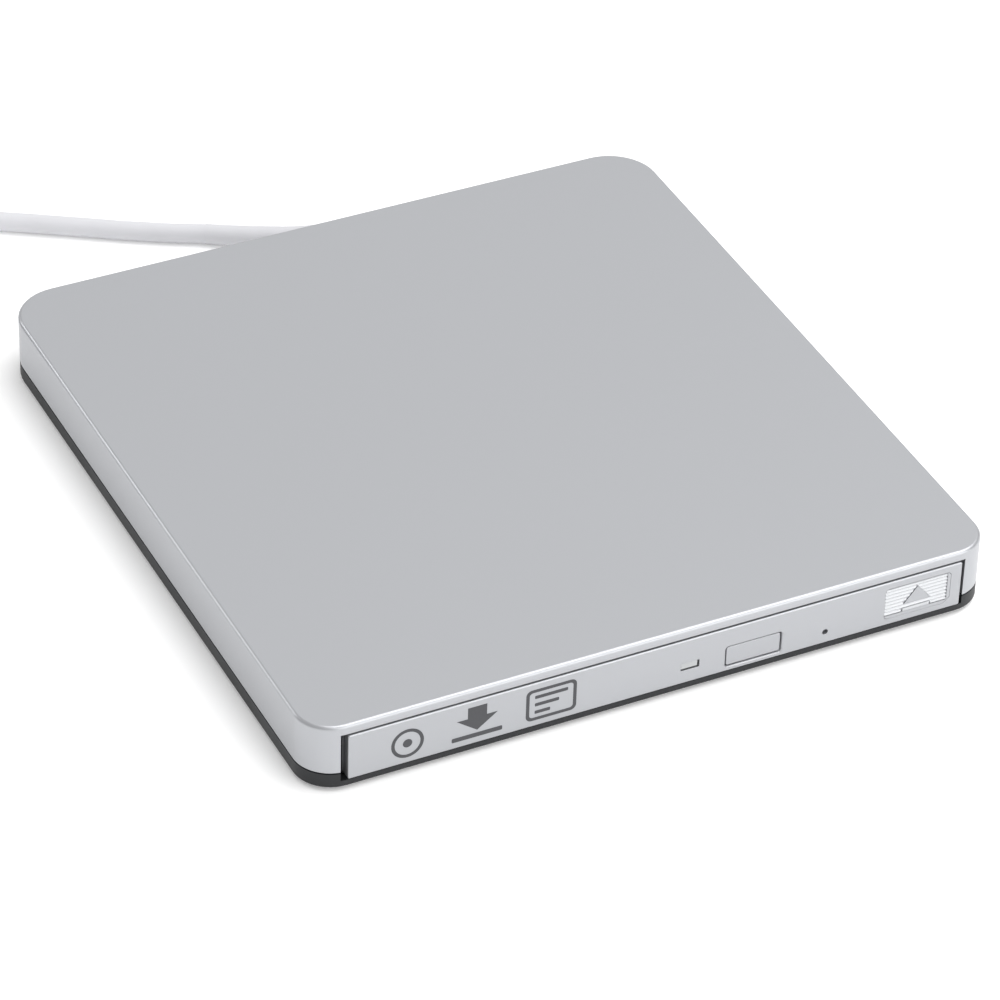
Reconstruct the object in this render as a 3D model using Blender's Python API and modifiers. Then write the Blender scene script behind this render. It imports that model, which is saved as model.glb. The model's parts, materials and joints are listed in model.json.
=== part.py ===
"""External slim optical drive with a captive data cable, at rest: tray shut, buttons out.

Sizes are in millimetres and become metres in the mesh helpers. +X is right, +Y is back, +Z is up. The
origin is on the floor under the middle of the enclosure. The enclosure is a silver top cover on a black
bottom tub; it holds a 128 mm wide tray-loading drive and, behind it, a bridge board.
"""

import math

import bmesh
import bpy
from mathutils import Matrix, Vector

MM = 0.001

# Clearances and cutters
RUNNING_GAP = 0.3
FACE_GAP = 0.3
RESTING_GAP = 0.15
OVERSHOOT = 5.0

# Enclosure
CASE_WIDTH = 143.0
CASE_FRONT = -76.1
CASE_BACK = 76.5
FRONT_CORNER = 7.45
BACK_CORNER = 10.3
CORNER_STEPS = 12
RIM_STEPS = 4
CASE_TOP = 14.85
CASE_WALL = 1.6
ROOF_UNDERSIDE = 13.3
TOP_EDGE = 0.8
FOOT_HEIGHT = 0.8
TUB_FLOOR = 2.0
TUB_RIM = 3.9
COVER_RIM = 4.2
TUB_EDGE = 0.3
LIP_WALL = 0.9
LIP_TOP = 5.6
OPENING_HALF_WIDTH = 65.2
OPENING_TOP = 12.85
OPENING_SILL = 2.2
OPENING_DEPTH = 5.0
ROOF_RIBS_Y = (-45.0, -10.0, 25.0)
ROOF_RIB_HALF_LENGTH = 58.0
ROOF_RIB_DROP = 0.9
SIDE_RIBS_Y = (-30.0, 0.0, 30.0)
SIDE_RIB_TOP = 9.5
REAR_STOPS_X = ((-28.0, -8.0), (12.0, 52.0))
REAR_STOP_TOP = 8.5
RIB_WIDTH = 1.2
BITE = 0.6

# Screws and feet
CASE_SCREWS = ((-66.6, -58.0), (66.6, -58.0), (-60.0, 66.0), (60.0, 66.0))
BRIDGE_SCREWS = ((-54.0, 70.0), (29.5, 61.5))
SCREW_RADIUS = 0.8
SCREW_HEAD_RADIUS = 1.55
SCREW_HEAD_Z = (1.2, 2.15)
SCREW_SLOT = (0.75, 0.16, 0.35)
CASE_SCREW_TOP = 8.0
BOSS_RADIUS = 1.9
POST_RADIUS = 2.2
FOOT_RADIUS = 4.0
FOOT_TOP = 1.2
FOOT_EDGE = 0.25
FEET = ((-55.0, -60.0), (55.0, -60.0), (-55.0, 58.0), (55.0, 58.0))

# Bezel
BEZEL_X = (-63.9, 64.4)
BEZEL_Y = (-76.5, -74.3)
BEZEL_Z = (2.5, 12.55)
BEZEL_EDGE = 0.45
LED_X = (4.2, 8.1)
LED_Z = (5.55, 7.25)
LED_DEPTH = 0.6
LED_GAP = 0.12
BUTTON_X = (13.75, 25.65)
BUTTON_Z = (3.4, 8.1)
BUTTON_SUNK = 0.4
BUTTON_BACK = -74.9
BUTTON_GAP = 0.15
BUTTON_STEM_X = (14.5, 16.9)
BUTTON_STEM_Z = (4.9, 6.2)
KEY_X = (47.95, 61.65)
KEY_Z = (3.95, 10.8)
KEY_SUNK = 0.25
KEY_RIBS = 8
KEY_RIB_PITCH = 0.78
KEY_RIB_START = 4.37
KEY_RIB_HEIGHT = 0.38
KEY_RIB_Y = (-76.45, -75.9)
KEY_STEM_X = (52.5, 54.5)
KEY_STEM_Z = (4.2, 5.8)
STEM_START = -75.5
STEM_END = -71.7
STEM_GAP = 0.4
ARROW_CENTRE_X = 54.95
ARROW_Z = (6.35, 9.8)
ARROW_HALF_WIDTH = 2.8
ARROW_DEPTH = 0.7
PINHOLE = (35.0, 5.15)
PINHOLE_RADIUS = 0.6

# Drive cage
CAGE_HALF_WIDTH = 64.0
CAGE_Y = (-74.1, 51.5)
CAGE_Z = (2.3, 11.0)
SHEET = 0.5
FLOOR_SLOTS_X = (-40.0, 0.0, 36.0)
FLOOR_SLOT_LENGTH = 14.0
FLOOR_SLOT_Y = (-52.0, -44.0)
LID_Z = (11.15, 11.6)
LID_SLOTS_X = (-50.0, 34.0)
LID_SLOT_LENGTH = 16.0
LID_SLOT_Y = (30.0, 34.0)
GUIDE_X = (60.8, 63.3)
GUIDE_Y = (-73.0, 30.0)
GUIDE_Z = (4.2, 7.8)
RAIL_X = (59.4, 62.4)
RAIL_Y = (-70.0, 48.0)
RAIL_Z = (5.2, 6.8)
PIN_PLACE = (55.8, -62.0)
PIN_RADIUS = 1.0
PIN_TOP = 6.0
CONNECTOR_X = (-56.0, -34.0)
DRIVE_CONNECTOR_Y = (51.7, 55.6)
DRIVE_CONNECTOR_Z = (3.6, 7.6)
RIBBON_X = (-34.0, -18.0)
RIBBON_Y = (-20.0, 50.0)
RIBBON_LIFT = 0.06
RIBBON_THICKNESS = 0.08

# Tray
TRAY_HALF_WIDTH = 60.5
TRAY_Y = (-74.1, 50.0)
TRAY_Z = (3.55, 10.4)
POCKET_X = (-57.5, 57.5)
POCKET_Y = (-71.0, 47.0)
DECK_UNDERSIDE = 7.6
DISC_FLOOR = 8.6
DISC_RADIUS = 60.3
SHIELD_X = (-60.0, 53.8)
SHIELD_Y = (-73.6, 49.6)
SHIELD_Z = (3.1, 3.4)
BOARD_Z = (3.75, 4.55)
BOARD_SIDE = ((-56.5, -36.0), (-70.4, 45.5))
BOARD_REAR = ((-40.0, 50.0), (24.0, 45.5))
BOARD_FRONT = ((-40.0, 17.8), (-70.4, -65.2))
MAIN_CHIP = ((-54.0, -42.0), (4.0, 16.0), 1.2)
TACT_SWITCH = ((13.4, 17.6), (-70.3, -67.0), 2.3)
SOLENOID = ((35.2, 45.6), (-70.2, -65.2), (3.8, 7.2))

# Disc mechanism, along and across the pickup's travel from the spindle
SPINDLE = (-3.0, -11.0)
TRAVEL_ANGLE = -45.0
WINDOW_ALONG = (-17.0, 50.0)
WINDOW_ACROSS = 22.0
LENS_WINDOW_ALONG = (40.0, 59.0)
LENS_WINDOW_ACROSS = 8.0
PLATE_ALONG = (-19.0, 49.6)
PLATE_ACROSS = (-17.2, 23.0)
PLATE_TONGUE_ALONG = (45.0, 63.8)
PLATE_TONGUE_ACROSS = 16.9
PLATE_Z = (6.9, 7.4)
PLATE_SLOT_ALONG = (12.0, 60.4)
PLATE_SLOT_ACROSS = 7.6
TABLE_HOLE_RADIUS = 13.8
TAB_FOOT = 4.2
TAB_THICKNESS = 1.5
INNER_TAB_ALONG = 10.3
OUTER_TAB_ALONG = 62.3
SCREW_TAB_ALONG = 10.6
SCREW_TAB_ACROSS = (-21.2, -16.5)
ROD_ACROSS = 15.0
ROD_RADIUS = 1.0
ROD_HEIGHT = 5.3
ROD_ALONG = (12.0, 62.0)
DAMPERS = ((-15.5, -13.5), (-15.5, 19.5), (45.5, 19.5))
DAMPER_RADIUS = 2.4
SPINDLE_MOTOR_RADIUS = 12.4
SPINDLE_MOTOR_Z = (3.7, 7.8)
MOTOR_BASE_ALONG = (-17.5, 2.0)
MOTOR_BASE_ACROSS = 9.0
MOTOR_BASE_TOP = 4.7
TABLE_RADIUS = 13.0
TABLE_Z = (8.1, 8.9)
HUB_RADIUS = 7.2
HUB_TOP = 10.0
CAP_RADIUS = 5.6
CAP_TOP = 10.6
CLAW_RADIUS = 0.9
CLAW_Z = (9.4, 10.2)
DIMPLE_RADIUS = 2.0
DIMPLE_FLOOR = 10.1
LENS_REST = 23.0
SLED_REACH = (-8.7, 4.8)
SLED_ACROSS = 10.5
SLED_Z = (4.0, 6.6)
ARM_REACH = (-8.4, 4.5)
ARM_END = 16.7
BORE_GAP = 0.12
LENS_MOUNT_RADIUS = 3.6
LENS_MOUNT_Z = (6.0, 7.3)
LENS_RADII = (2.1, 1.5)
LENS_Z = (7.45, 8.2)
NUT_BEHIND_LENS = 8.0
NUT_TOOTH_HALF_WIDTH = 0.4
NUT_TOOTH_Z = (4.6, 6.2)
NUT_TOOTH_ROOT = -16.0
SCREW_ACROSS = -19.5
SCREW_HEIGHT = 5.4
SCREW_ALONG = (12.9, 49.3)
SCREW_CORE = 0.9
THREAD_LEAD = 3.0
THREAD_RADIUS = 0.4
THREAD_TURNS = 11.5
THREAD_POINTS_PER_TURN = 10
FEED_MOTOR_END = 58.3
FEED_MOTOR_ACROSS = 2.5
FEED_MOTOR_Z = (3.7, 7.4)
FEED_MOTOR_EDGE = 0.6

# Latch, from its pivot
LATCH_PIVOT = (49.5, -68.0)
LATCH_POST = (0.85, (3.8, 8.0))
LATCH_Z = (3.75, 5.1)
LATCH_EYE_RADIUS = 2.1
LATCH_BORE_RADIUS = 1.0
LATCH_ARM = ((-1.6, 0.9), (1.0, 9.9))
LATCH_FINGER = ((0.0, 4.6), (8.3, 9.9))
LATCH_TAIL = ((1.0, 5.2), (-1.8, -0.4))

# Bridge board behind the drive; each part is its X, its Y and its height over the board
BRIDGE_X = (-58.0, 34.0)
BRIDGE_Y = (57.5, 73.2)
BRIDGE_Z = (4.6, 5.6)
BRIDGE_SCREW_HEAD = (1.6, 1.0)
BRIDGE_SCREW_END = 2.7
SATA_CONNECTOR = (CONNECTOR_X, (55.8, 61.0), 3.6)
BRIDGE_CHIP = ((-24.0, -14.0), (60.5, 70.5), 1.1)
CRYSTAL = ((-8.0, 2.0), (68.4, 72.2), 2.6)
CAPACITOR_PLACE = (19.0, 69.6)
CAPACITOR_SIZE = (2.6, 4.8)
CABLE_HEADER = ((2.5, 13.5), (61.2, 65.2), 3.4)
CORE_RADIUS = 1.5
CORE_START = 65.4
CORE_LENGTH = 7.6

# Cable
CABLE_RADIUS = 2.05
EXIT = (8.0, 76.7, 7.6)
NOTCH_HALF_WIDTH = 4.4
NOTCH_TOP = 10.9
LIP_NOTCH_HALF_WIDTH = 5.8
GROMMET_HALF_WIDTH = 4.1
GROMMET_Y = (74.0, 76.4)
GROMMET_Z = (4.3, 10.6)
FLANGE_HALF_WIDTH = 5.4
FLANGE_Y = (73.2, 74.6)
FLANGE_Z = (4.2, 11.8)
RELIEF_BASE_RADIUS = 3.0
RELIEF_TIP_RADIUS = 2.35
RELIEF_POINTS = 16
CABLE_POINTS = 10
TAIL_POINTS = 8
ROUTE_STEPS = 12
COIL_RADIUS = 23.0
COIL_CENTRE = (-94.0, 115.2)
COIL_LANES = 2
COIL_LAYERS = 2
COIL_LIFT = 0.03
TIE_HALF_WIDTH = 4.0
TIE_BAND = 0.8
PLUG_TURN = 8.6
GRIP_SIZE = (15.2, 19.0, 7.5)
GRIP_CORNER = 2.5
GRIP_EDGE = 0.8
SHELL_SIZE = (12.0, 19.7, 4.5)
SHELL_START = -17.3
SHELL_WALL = 0.3
SHELL_STOP = -19.5
SHELL_WINDOWS_X = (-3.9, 1.7)
SHELL_WINDOW = (2.2, (-29.5, -27.3))
TONGUE_Y = (-36.0, -19.8)
TONGUE_HALF_WIDTH = 5.4
TONGUE_Z = (2.3, 3.9)
RELIEF_ROUTE = (
    (8.0, 76.7, 7.6), (8.0, 79.0, 7.5), (7.7, 81.4, 6.8), (6.2, 84.0, 5.2), (3.1, 86.4, 3.8),
    (-1.6, 89.5, 2.95), (-9.0, 94.1, 2.65), (-17.5, 99.4, 2.45),
)
CABLE_ROUTE = (
    (-17.5, 99.4, 2.45), (-23.0, 102.2, 2.2), (-28.6, 105.3, 2.1), (-34.3, 108.6, 2.08),
    (-39.8, 112.0, 2.08), (-45.3, 115.3, 2.08), (-50.7, 118.6, 2.08), (-56.4, 121.9, 2.08),
    (-62.1, 125.3, 2.08), (-67.6, 128.6, 2.08),
)
TAIL_ROUTE = (
    (-123.2, 111.2, 5.0), (-125.0, 107.6, 4.6), (-126.2, 103.8, 4.2), (-126.7, 99.8, 3.95),
    (-126.5, 95.8, 3.82), (-125.9, 91.9, 3.78),
)


def collection(name):
    made = bpy.data.collections.new(name)
    bpy.context.scene.collection.children.link(made)
    return made


def clear_scene():
    for obj in list(bpy.data.objects):
        bpy.data.objects.remove(obj, do_unlink=True)


clear_scene()
PARTS = collection("external_optical_drive")
CUTTERS = collection("cutters")


def material(name, colour, roughness, metallic=0.0):
    made = bpy.data.materials.new(name)
    made.use_nodes = True
    shader = made.node_tree.nodes["Principled BSDF"]
    shader.inputs["Base Color"].default_value = (*colour, 1.0)
    shader.inputs["Roughness"].default_value = roughness
    shader.inputs["Metallic"].default_value = metallic
    made.diffuse_color = (*colour, 1.0)
    return made


SILVER_PAINT = material("silver_paint", (0.50, 0.51, 0.53), 0.42, 0.35)
BEZEL_PAINT = material("bezel_paint", (0.58, 0.59, 0.61), 0.40, 0.25)
BLACK_PLASTIC = material("black_plastic", (0.035, 0.036, 0.040), 0.50)
TRAY_PLASTIC = material("tray_plastic", (0.022, 0.022, 0.024), 0.45)
RUBBER = material("rubber", (0.020, 0.020, 0.020), 0.85)
STEEL = material("steel", (0.55, 0.56, 0.57), 0.35, 1.0)
DARK_STEEL = material("dark_steel", (0.16, 0.16, 0.17), 0.40, 1.0)
COPPER_FOIL = material("copper_foil", (0.55, 0.33, 0.08), 0.50)
GREEN_BOARD = material("green_board", (0.015, 0.12, 0.045), 0.55)
CHIP_PLASTIC = material("chip_plastic", (0.012, 0.012, 0.013), 0.60)
CLEAR_PLASTIC = material("clear_plastic", (0.62, 0.64, 0.63), 0.30)
LENS_GLASS = material("lens_glass", (0.30, 0.22, 0.45), 0.05)
NYLON = material("nylon", (0.72, 0.71, 0.66), 0.50)
CABLE_JACKET = material("cable_jacket", (0.74, 0.74, 0.77), 0.48)


def empty(name, parent=None, at=(0.0, 0.0, 0.0), turn=0.0):
    made = bpy.data.objects.new(name, None)
    made.empty_display_size = 0.01
    made.parent = parent
    made.location = Vector(at) * MM
    made.rotation_euler = (0.0, 0.0, math.radians(turn))
    PARTS.objects.link(made)
    return made


CASE = empty("case")
TRAY_SLIDE = empty("tray_slide", CASE)
TRAVERSE = empty("traverse", TRAY_SLIDE, (*SPINDLE, 0.0), TRAVEL_ANGLE)


def add_object(name, data, look, parent, at, rotation=(0.0, 0.0, 0.0)):
    """An object at a place in millimetres under its parent; with no look it is a cutter."""
    made = bpy.data.objects.new(name, data)
    made.parent = parent
    made.location = Vector(at) * MM
    made.rotation_euler = rotation
    if look is None:
        made.hide_render = True
        made.display_type = "WIRE"
        CUTTERS.objects.link(made)
    else:
        data.materials.append(look)
        PARTS.objects.link(made)
    return made


def mesh_from(name, shape):
    data = bpy.data.meshes.new(name)
    shape.to_mesh(data)
    shape.free()
    return data


def edges_along_z(shape):
    return [e for e in shape.edges if abs(e.verts[0].co.z - e.verts[1].co.z) > 1e-6]


def rim_edges(shape, top):
    """The edges round the top or the bottom of a box."""
    levels = [v.co.z for v in shape.verts]
    level = max(levels) if top else min(levels)
    return [e for e in shape.edges if all(abs(v.co.z - level) < 1e-7 for v in e.verts)]


def rounded(shape, edges, width, steps):
    bmesh.ops.bevel(shape, geom=edges, offset=width * MM, segments=steps, profile=0.5, affect="EDGES")


def box(name, look, x, y, z, parent=None, corner=0.0, back_corner=None, top=0.0, bottom=0.0, steps=6):
    """A box between two limits on each axis, with upright corners, top and bottom edges rounded."""
    limits = (x, y, z)
    shape = bmesh.new()
    bmesh.ops.create_cube(shape, size=1.0)
    bmesh.ops.scale(shape, vec=[(high - low) * MM for low, high in limits], verts=shape.verts)
    if corner:
        upright = edges_along_z(shape)
        back = [e for e in upright if e.verts[0].co.y > 0]
        front = [e for e in upright if e.verts[0].co.y < 0]
        rounded(shape, front, corner, steps)
        rounded(shape, back, corner if back_corner is None else back_corner, steps)
    if top:
        rounded(shape, rim_edges(shape, True), top, RIM_STEPS)
    if bottom:
        rounded(shape, rim_edges(shape, False), bottom, RIM_STEPS)
    middle = [(low + high) / 2 for low, high in limits]
    return add_object(name, mesh_from(name, shape), look, parent or CASE, middle)


def cylinder(name, look, centre, radius, z, parent=None, sides=24, tip=None):
    """An upright cylinder or cone from z[0] to z[1]."""
    shape = bmesh.new()
    bmesh.ops.create_cone(
        shape, cap_ends=True, segments=sides, radius1=radius * MM,
        radius2=(radius if tip is None else tip) * MM, depth=(z[1] - z[0]) * MM,
    )
    data = mesh_from(name, shape)
    shade_round(data)
    return add_object(name, data, look, parent or CASE, (*centre, (z[0] + z[1]) / 2))


def rod(name, look, start, axis, radius, length, parent=None, sides=16):
    """A cylinder lying along a horizontal axis, "x" or "y", from its start."""
    shape = bmesh.new()
    bmesh.ops.create_cone(
        shape, cap_ends=True, segments=sides, radius1=radius * MM, radius2=radius * MM,
        depth=length * MM,
    )
    turn = Matrix.Rotation(math.pi / 2, 4, "Y" if axis == "x" else "X")
    bmesh.ops.transform(shape, matrix=turn, verts=shape.verts)
    data = mesh_from(name, shape)
    shade_round(data)
    along = Vector((1, 0, 0) if axis == "x" else (0, 1, 0))
    return add_object(name, data, look, parent or CASE, Vector(start) + along * length / 2)


def shade_round(data):
    data.shade_smooth()
    data.set_sharp_from_angle(angle=math.radians(35))


def boolean(target, operation, tools):
    for tool in tools:
        modifier = target.modifiers.new(f"{operation.lower()} {tool.name}", "BOOLEAN")
        modifier.operation = operation
        modifier.object = tool
    return target


def cut(target, *tools):
    return boolean(target, "DIFFERENCE", tools)


def join(target, *tools):
    return boolean(target, "UNION", tools)


def grown(limits, by):
    return (limits[0] - by, limits[1] + by)


def centred(half_width, middle=0.0):
    return (middle - half_width, middle + half_width)


def above(level, height, gap=RESTING_GAP):
    """The limits of something of this height that rests on a level."""
    return (level + gap, level + gap + height)


def on_side(side, limits):
    """X limits given for the right, on the right for side 1 and on the left for side -1."""
    return tuple(sorted(side * x for x in limits))


def case_box(name, look, inset, z, top=0.0, bottom=0.0):
    """A box with the enclosure's rounded plan, drawn in by inset."""
    return box(
        name, look, centred(CASE_WIDTH / 2 - inset), grown((CASE_FRONT, CASE_BACK), -inset), z,
        corner=FRONT_CORNER - inset, back_corner=BACK_CORNER - inset, top=top, bottom=bottom,
        steps=CORNER_STEPS,
    )


# Enclosure ---------------------------------------------------------------------------------------------


def make_top_cover():
    cover = case_box("top_cover", SILVER_PAINT, 0.0, (COVER_RIM, CASE_TOP), top=TOP_EDGE)
    cut(cover, case_box("cover_hollow", None, CASE_WALL, (0.0, ROOF_UNDERSIDE)))
    mouth_y = (CASE_FRONT - OVERSHOOT, CASE_FRONT + OPENING_DEPTH)
    cut(cover, box("cover_mouth", None, centred(OPENING_HALF_WIDTH), mouth_y, (0.0, OPENING_TOP)))
    boss_z = (COVER_RIM + RESTING_GAP, ROOF_UNDERSIDE + BITE)
    hole_z = (0.0, ROOF_UNDERSIDE - 2 * CASE_WALL)
    for i, place in enumerate(CASE_SCREWS):
        join(cover, cylinder(f"boss_{i}", None, place, BOSS_RADIUS, boss_z, sides=16))
        hole_radius = SCREW_RADIUS + RESTING_GAP
        cut(cover, cylinder(f"boss_hole_{i}", None, place, hole_radius, hole_z, sides=12))
    rib_z = (ROOF_UNDERSIDE - ROOF_RIB_DROP, ROOF_UNDERSIDE + BITE)
    for i, y in enumerate(ROOF_RIBS_Y):
        rib_y = (y, y + RIB_WIDTH)
        join(cover, box(f"roof_rib_{i}", None, centred(ROOF_RIB_HALF_LENGTH), rib_y, rib_z))
    notch_y = (CASE_BACK - 2 * CASE_WALL, CASE_BACK + OVERSHOOT)
    cut(cover, box("cable_notch", None, centred(NOTCH_HALF_WIDTH, EXIT[0]), notch_y, (0.0, NOTCH_TOP)))


def make_bottom_cover():
    tub = case_box("bottom_cover", BLACK_PLASTIC, 0.0, (FOOT_HEIGHT, TUB_RIM), bottom=TUB_EDGE)
    cut(tub, case_box("tub_hollow", None, CASE_WALL, (TUB_FLOOR, TUB_RIM + OVERSHOOT)))
    foundation = TUB_FLOOR - BITE
    inset = CASE_WALL + RUNNING_GAP
    lip = case_box("lip", None, inset, (foundation, LIP_TOP))
    cut(lip, case_box("lip_hollow", None, inset + LIP_WALL, (0.0, LIP_TOP + OVERSHOOT)))
    join(tub, lip)
    for i, place in enumerate(CASE_SCREWS):
        join(tub, cylinder(f"post_{i}", None, place, POST_RADIUS, (foundation, COVER_RIM - 0.1), sides=16))
        hole = cylinder(f"post_hole_{i}", None, place, SCREW_RADIUS + 0.2, (0.0, LIP_TOP), sides=12)
        recess_z = (0.0, SCREW_HEAD_Z[1] + 0.2)
        recess_radius = SCREW_HEAD_RADIUS + 0.2
        cut(tub, hole, cylinder(f"head_recess_{i}", None, place, recess_radius, recess_z, sides=16))
    for i, place in enumerate(FEET):
        recess_z = (0.0, FOOT_TOP + RESTING_GAP)
        cut(tub, cylinder(f"foot_recess_{i}", None, place, FOOT_RADIUS + FACE_GAP, recess_z))
    side_rib_x = (CAGE_HALF_WIDTH + FACE_GAP, CASE_WIDTH / 2 - inset - BITE)
    for side in (-1, 1):
        for i, y in enumerate(SIDE_RIBS_Y):
            rib_y = (y, y + RIB_WIDTH)
            name = f"side_rib_{side}_{i}"
            join(tub, box(name, None, on_side(side, side_rib_x), rib_y, (foundation, SIDE_RIB_TOP)))
    stop_y = (CAGE_Y[1] + FACE_GAP, CAGE_Y[1] + FACE_GAP + RIB_WIDTH)
    for i, x in enumerate(REAR_STOPS_X):
        join(tub, box(f"rear_stop_{i}", None, x, stop_y, (foundation, REAR_STOP_TOP)))
    board_post_z = (foundation, BRIDGE_Z[0] - RESTING_GAP)
    board_hole_z = (TUB_FLOOR + 0.2, BRIDGE_Z[0] + OVERSHOOT)
    for i, place in enumerate(BRIDGE_SCREWS):
        join(tub, cylinder(f"board_post_{i}", None, place, POST_RADIUS, board_post_z, sides=16))
        hole_radius = SCREW_RADIUS + RESTING_GAP
        cut(tub, cylinder(f"board_post_hole_{i}", None, place, hole_radius, board_hole_z, sides=12))
    mouth_y = (CASE_FRONT - OVERSHOOT, CASE_FRONT + OPENING_DEPTH)
    mouth_z = (OPENING_SILL, LIP_TOP + OVERSHOOT)
    cut(tub, box("tub_mouth", None, centred(OPENING_HALF_WIDTH), mouth_y, mouth_z))
    lip_y = (CASE_BACK - CASE_WALL - 3 * LIP_WALL, CASE_BACK - CASE_WALL)
    notch_x = centred(LIP_NOTCH_HALF_WIDTH, EXIT[0])
    cut(tub, box("lip_notch", None, notch_x, lip_y, (TUB_RIM, LIP_TOP + OVERSHOOT)))


def make_feet_and_screws():
    for i, place in enumerate(FEET):
        foot = cylinder(f"foot_{i + 1}", RUBBER, place, FOOT_RADIUS, (0.0, FOOT_TOP), sides=28)
        soften(foot, FOOT_EDGE, 1)
    for i, place in enumerate(CASE_SCREWS):
        screw(f"case_screw_{i + 1}", place, SCREW_HEAD_RADIUS, SCREW_HEAD_Z, CASE_SCREW_TOP)


def soften(piece, width, segments):
    """Rounds a piece's sharp edges with a Bevel modifier."""
    soft = piece.modifiers.new("soft edges", "BEVEL")
    soft.width = width * MM
    soft.segments = segments
    soft.limit_method = "ANGLE"


def screw(name, place, head_radius, head_z, shank_end, parent=None):
    """A cross-head screw whose shank runs up or down from its head to shank_end."""
    up = shank_end > head_z[0]
    made = cylinder(name, STEEL, place, head_radius, head_z, parent, sides=16)
    inside = (head_z[0] + head_z[1]) / 2
    shank = (inside, shank_end) if up else (shank_end, inside)
    join(made, cylinder(f"{name}_shank", None, place, SCREW_RADIUS, shank, parent, sides=12))
    reach, half_width, depth = SCREW_SLOT
    face = (head_z[0] - depth, head_z[0] + depth) if up else (head_z[1] - depth, head_z[1] + depth)
    x, y = place
    for arm, (dx, dy) in enumerate(((reach, half_width), (half_width, reach))):
        cut(made, box(f"{name}_slot_{arm}", None, centred(dx, x), centred(dy, y), face, parent))


# Drive cage --------------------------------------------------------------------------------------------


def make_cage():
    cage = box("cage_base", STEEL, centred(CAGE_HALF_WIDTH), CAGE_Y, CAGE_Z)
    floor = CAGE_Z[0] + SHEET
    inside = centred(CAGE_HALF_WIDTH - SHEET)
    hollow_y = (CAGE_Y[0] - OVERSHOOT, CAGE_Y[1] - SHEET)
    cut(cage, box("cage_hollow", None, inside, hollow_y, (floor, CAGE_Z[1] + OVERSHOOT)))
    for i, x in enumerate(FLOOR_SLOTS_X):
        slot_x = (x, x + FLOOR_SLOT_LENGTH)
        slot_z = (0.0, floor + 0.1)
        cut(cage, box(f"floor_slot_{i}", None, slot_x, FLOOR_SLOT_Y, slot_z, corner=2.0, steps=3))
    lid = box("cage_lid", STEEL, centred(CAGE_HALF_WIDTH), CAGE_Y, LID_Z)
    for i, x in enumerate(LID_SLOTS_X):
        slot_x = (x, x + LID_SLOT_LENGTH)
        cut(lid, box(f"lid_slot_{i}", None, slot_x, LID_SLOT_Y, grown(LID_Z, 1.0), corner=1.5, steps=3))
    for side, name in ((-1, "left"), (1, "right")):
        guide = box(f"rail_guide_{name}", NYLON, on_side(side, GUIDE_X), GUIDE_Y, GUIDE_Z)
        groove_x = on_side(side, (GUIDE_X[0] - OVERSHOOT, RAIL_X[1] + RUNNING_GAP))
        groove_z = grown(RAIL_Z, RUNNING_GAP)
        cut(guide, box(f"guide_groove_{name}", None, groove_x, grown(GUIDE_Y, OVERSHOOT), groove_z))
    cylinder("latch_pin", STEEL, PIN_PLACE, PIN_RADIUS, (floor + RESTING_GAP, PIN_TOP), sides=16)
    box("drive_connector", BLACK_PLASTIC, CONNECTOR_X, DRIVE_CONNECTOR_Y, DRIVE_CONNECTOR_Z)
    ribbon_z = above(floor, RIBBON_THICKNESS, RIBBON_LIFT)
    box("flex_ribbon", COPPER_FOIL, RIBBON_X, RIBBON_Y, ribbon_z)


def make_rails():
    for side, name in ((-1, "left"), (1, "right")):
        box(f"rail_{name}", STEEL, on_side(side, RAIL_X), RAIL_Y, RAIL_Z)


# Bridge board ------------------------------------------------------------------------------------------


def on_board(name, look, part, level, parent=None, corner=0.0):
    """A block on a board: its X limits, its Y limits and its height."""
    x, y, height = part
    box(name, look, x, y, above(level, height), parent, corner=corner, steps=4)


def make_bridge():
    board = box("bridge_board", GREEN_BOARD, BRIDGE_X, BRIDGE_Y, BRIDGE_Z)
    level = BRIDGE_Z[1]
    head_radius, head_height = BRIDGE_SCREW_HEAD
    for i, place in enumerate(BRIDGE_SCREWS):
        hole_radius = SCREW_RADIUS + FACE_GAP
        cut(board, cylinder(f"board_hole_{i}", None, place, hole_radius, grown(BRIDGE_Z, 1.0), sides=16))
        screw(f"board_screw_{i + 1}", place, head_radius, above(level, head_height), BRIDGE_SCREW_END)
    on_board("sata_connector", BLACK_PLASTIC, SATA_CONNECTOR, level)
    on_board("bridge_chip", CHIP_PLASTIC, BRIDGE_CHIP, level)
    on_board("crystal", STEEL, CRYSTAL, level, corner=1.8)
    capacitor_radius, capacitor_height = CAPACITOR_SIZE
    capacitor_z = above(level, capacitor_height)
    cylinder("capacitor", BLACK_PLASTIC, CAPACITOR_PLACE, capacitor_radius, capacitor_z, sides=20)
    on_board("cable_header", NYLON, CABLE_HEADER, level)
    rod("cable_core", CABLE_JACKET, (EXIT[0], CORE_START, EXIT[2]), "y", CORE_RADIUS, CORE_LENGTH)


def make_grommet():
    x = EXIT[0]
    grommet = box("cable_grommet", BLACK_PLASTIC, centred(GROMMET_HALF_WIDTH, x), GROMMET_Y, GROMMET_Z)
    join(grommet, box("grommet_flange", None, centred(FLANGE_HALF_WIDTH, x), FLANGE_Y, FLANGE_Z))


# Tray and what rides on it -----------------------------------------------------------------------------


def tray_box(name, look, x, y, z, **edges):
    return box(name, look, x, y, z, TRAY_SLIDE, **edges)


def traverse_box(name, look, along, across, z):
    return box(name, look, along, across, z, TRAVERSE)


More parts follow.
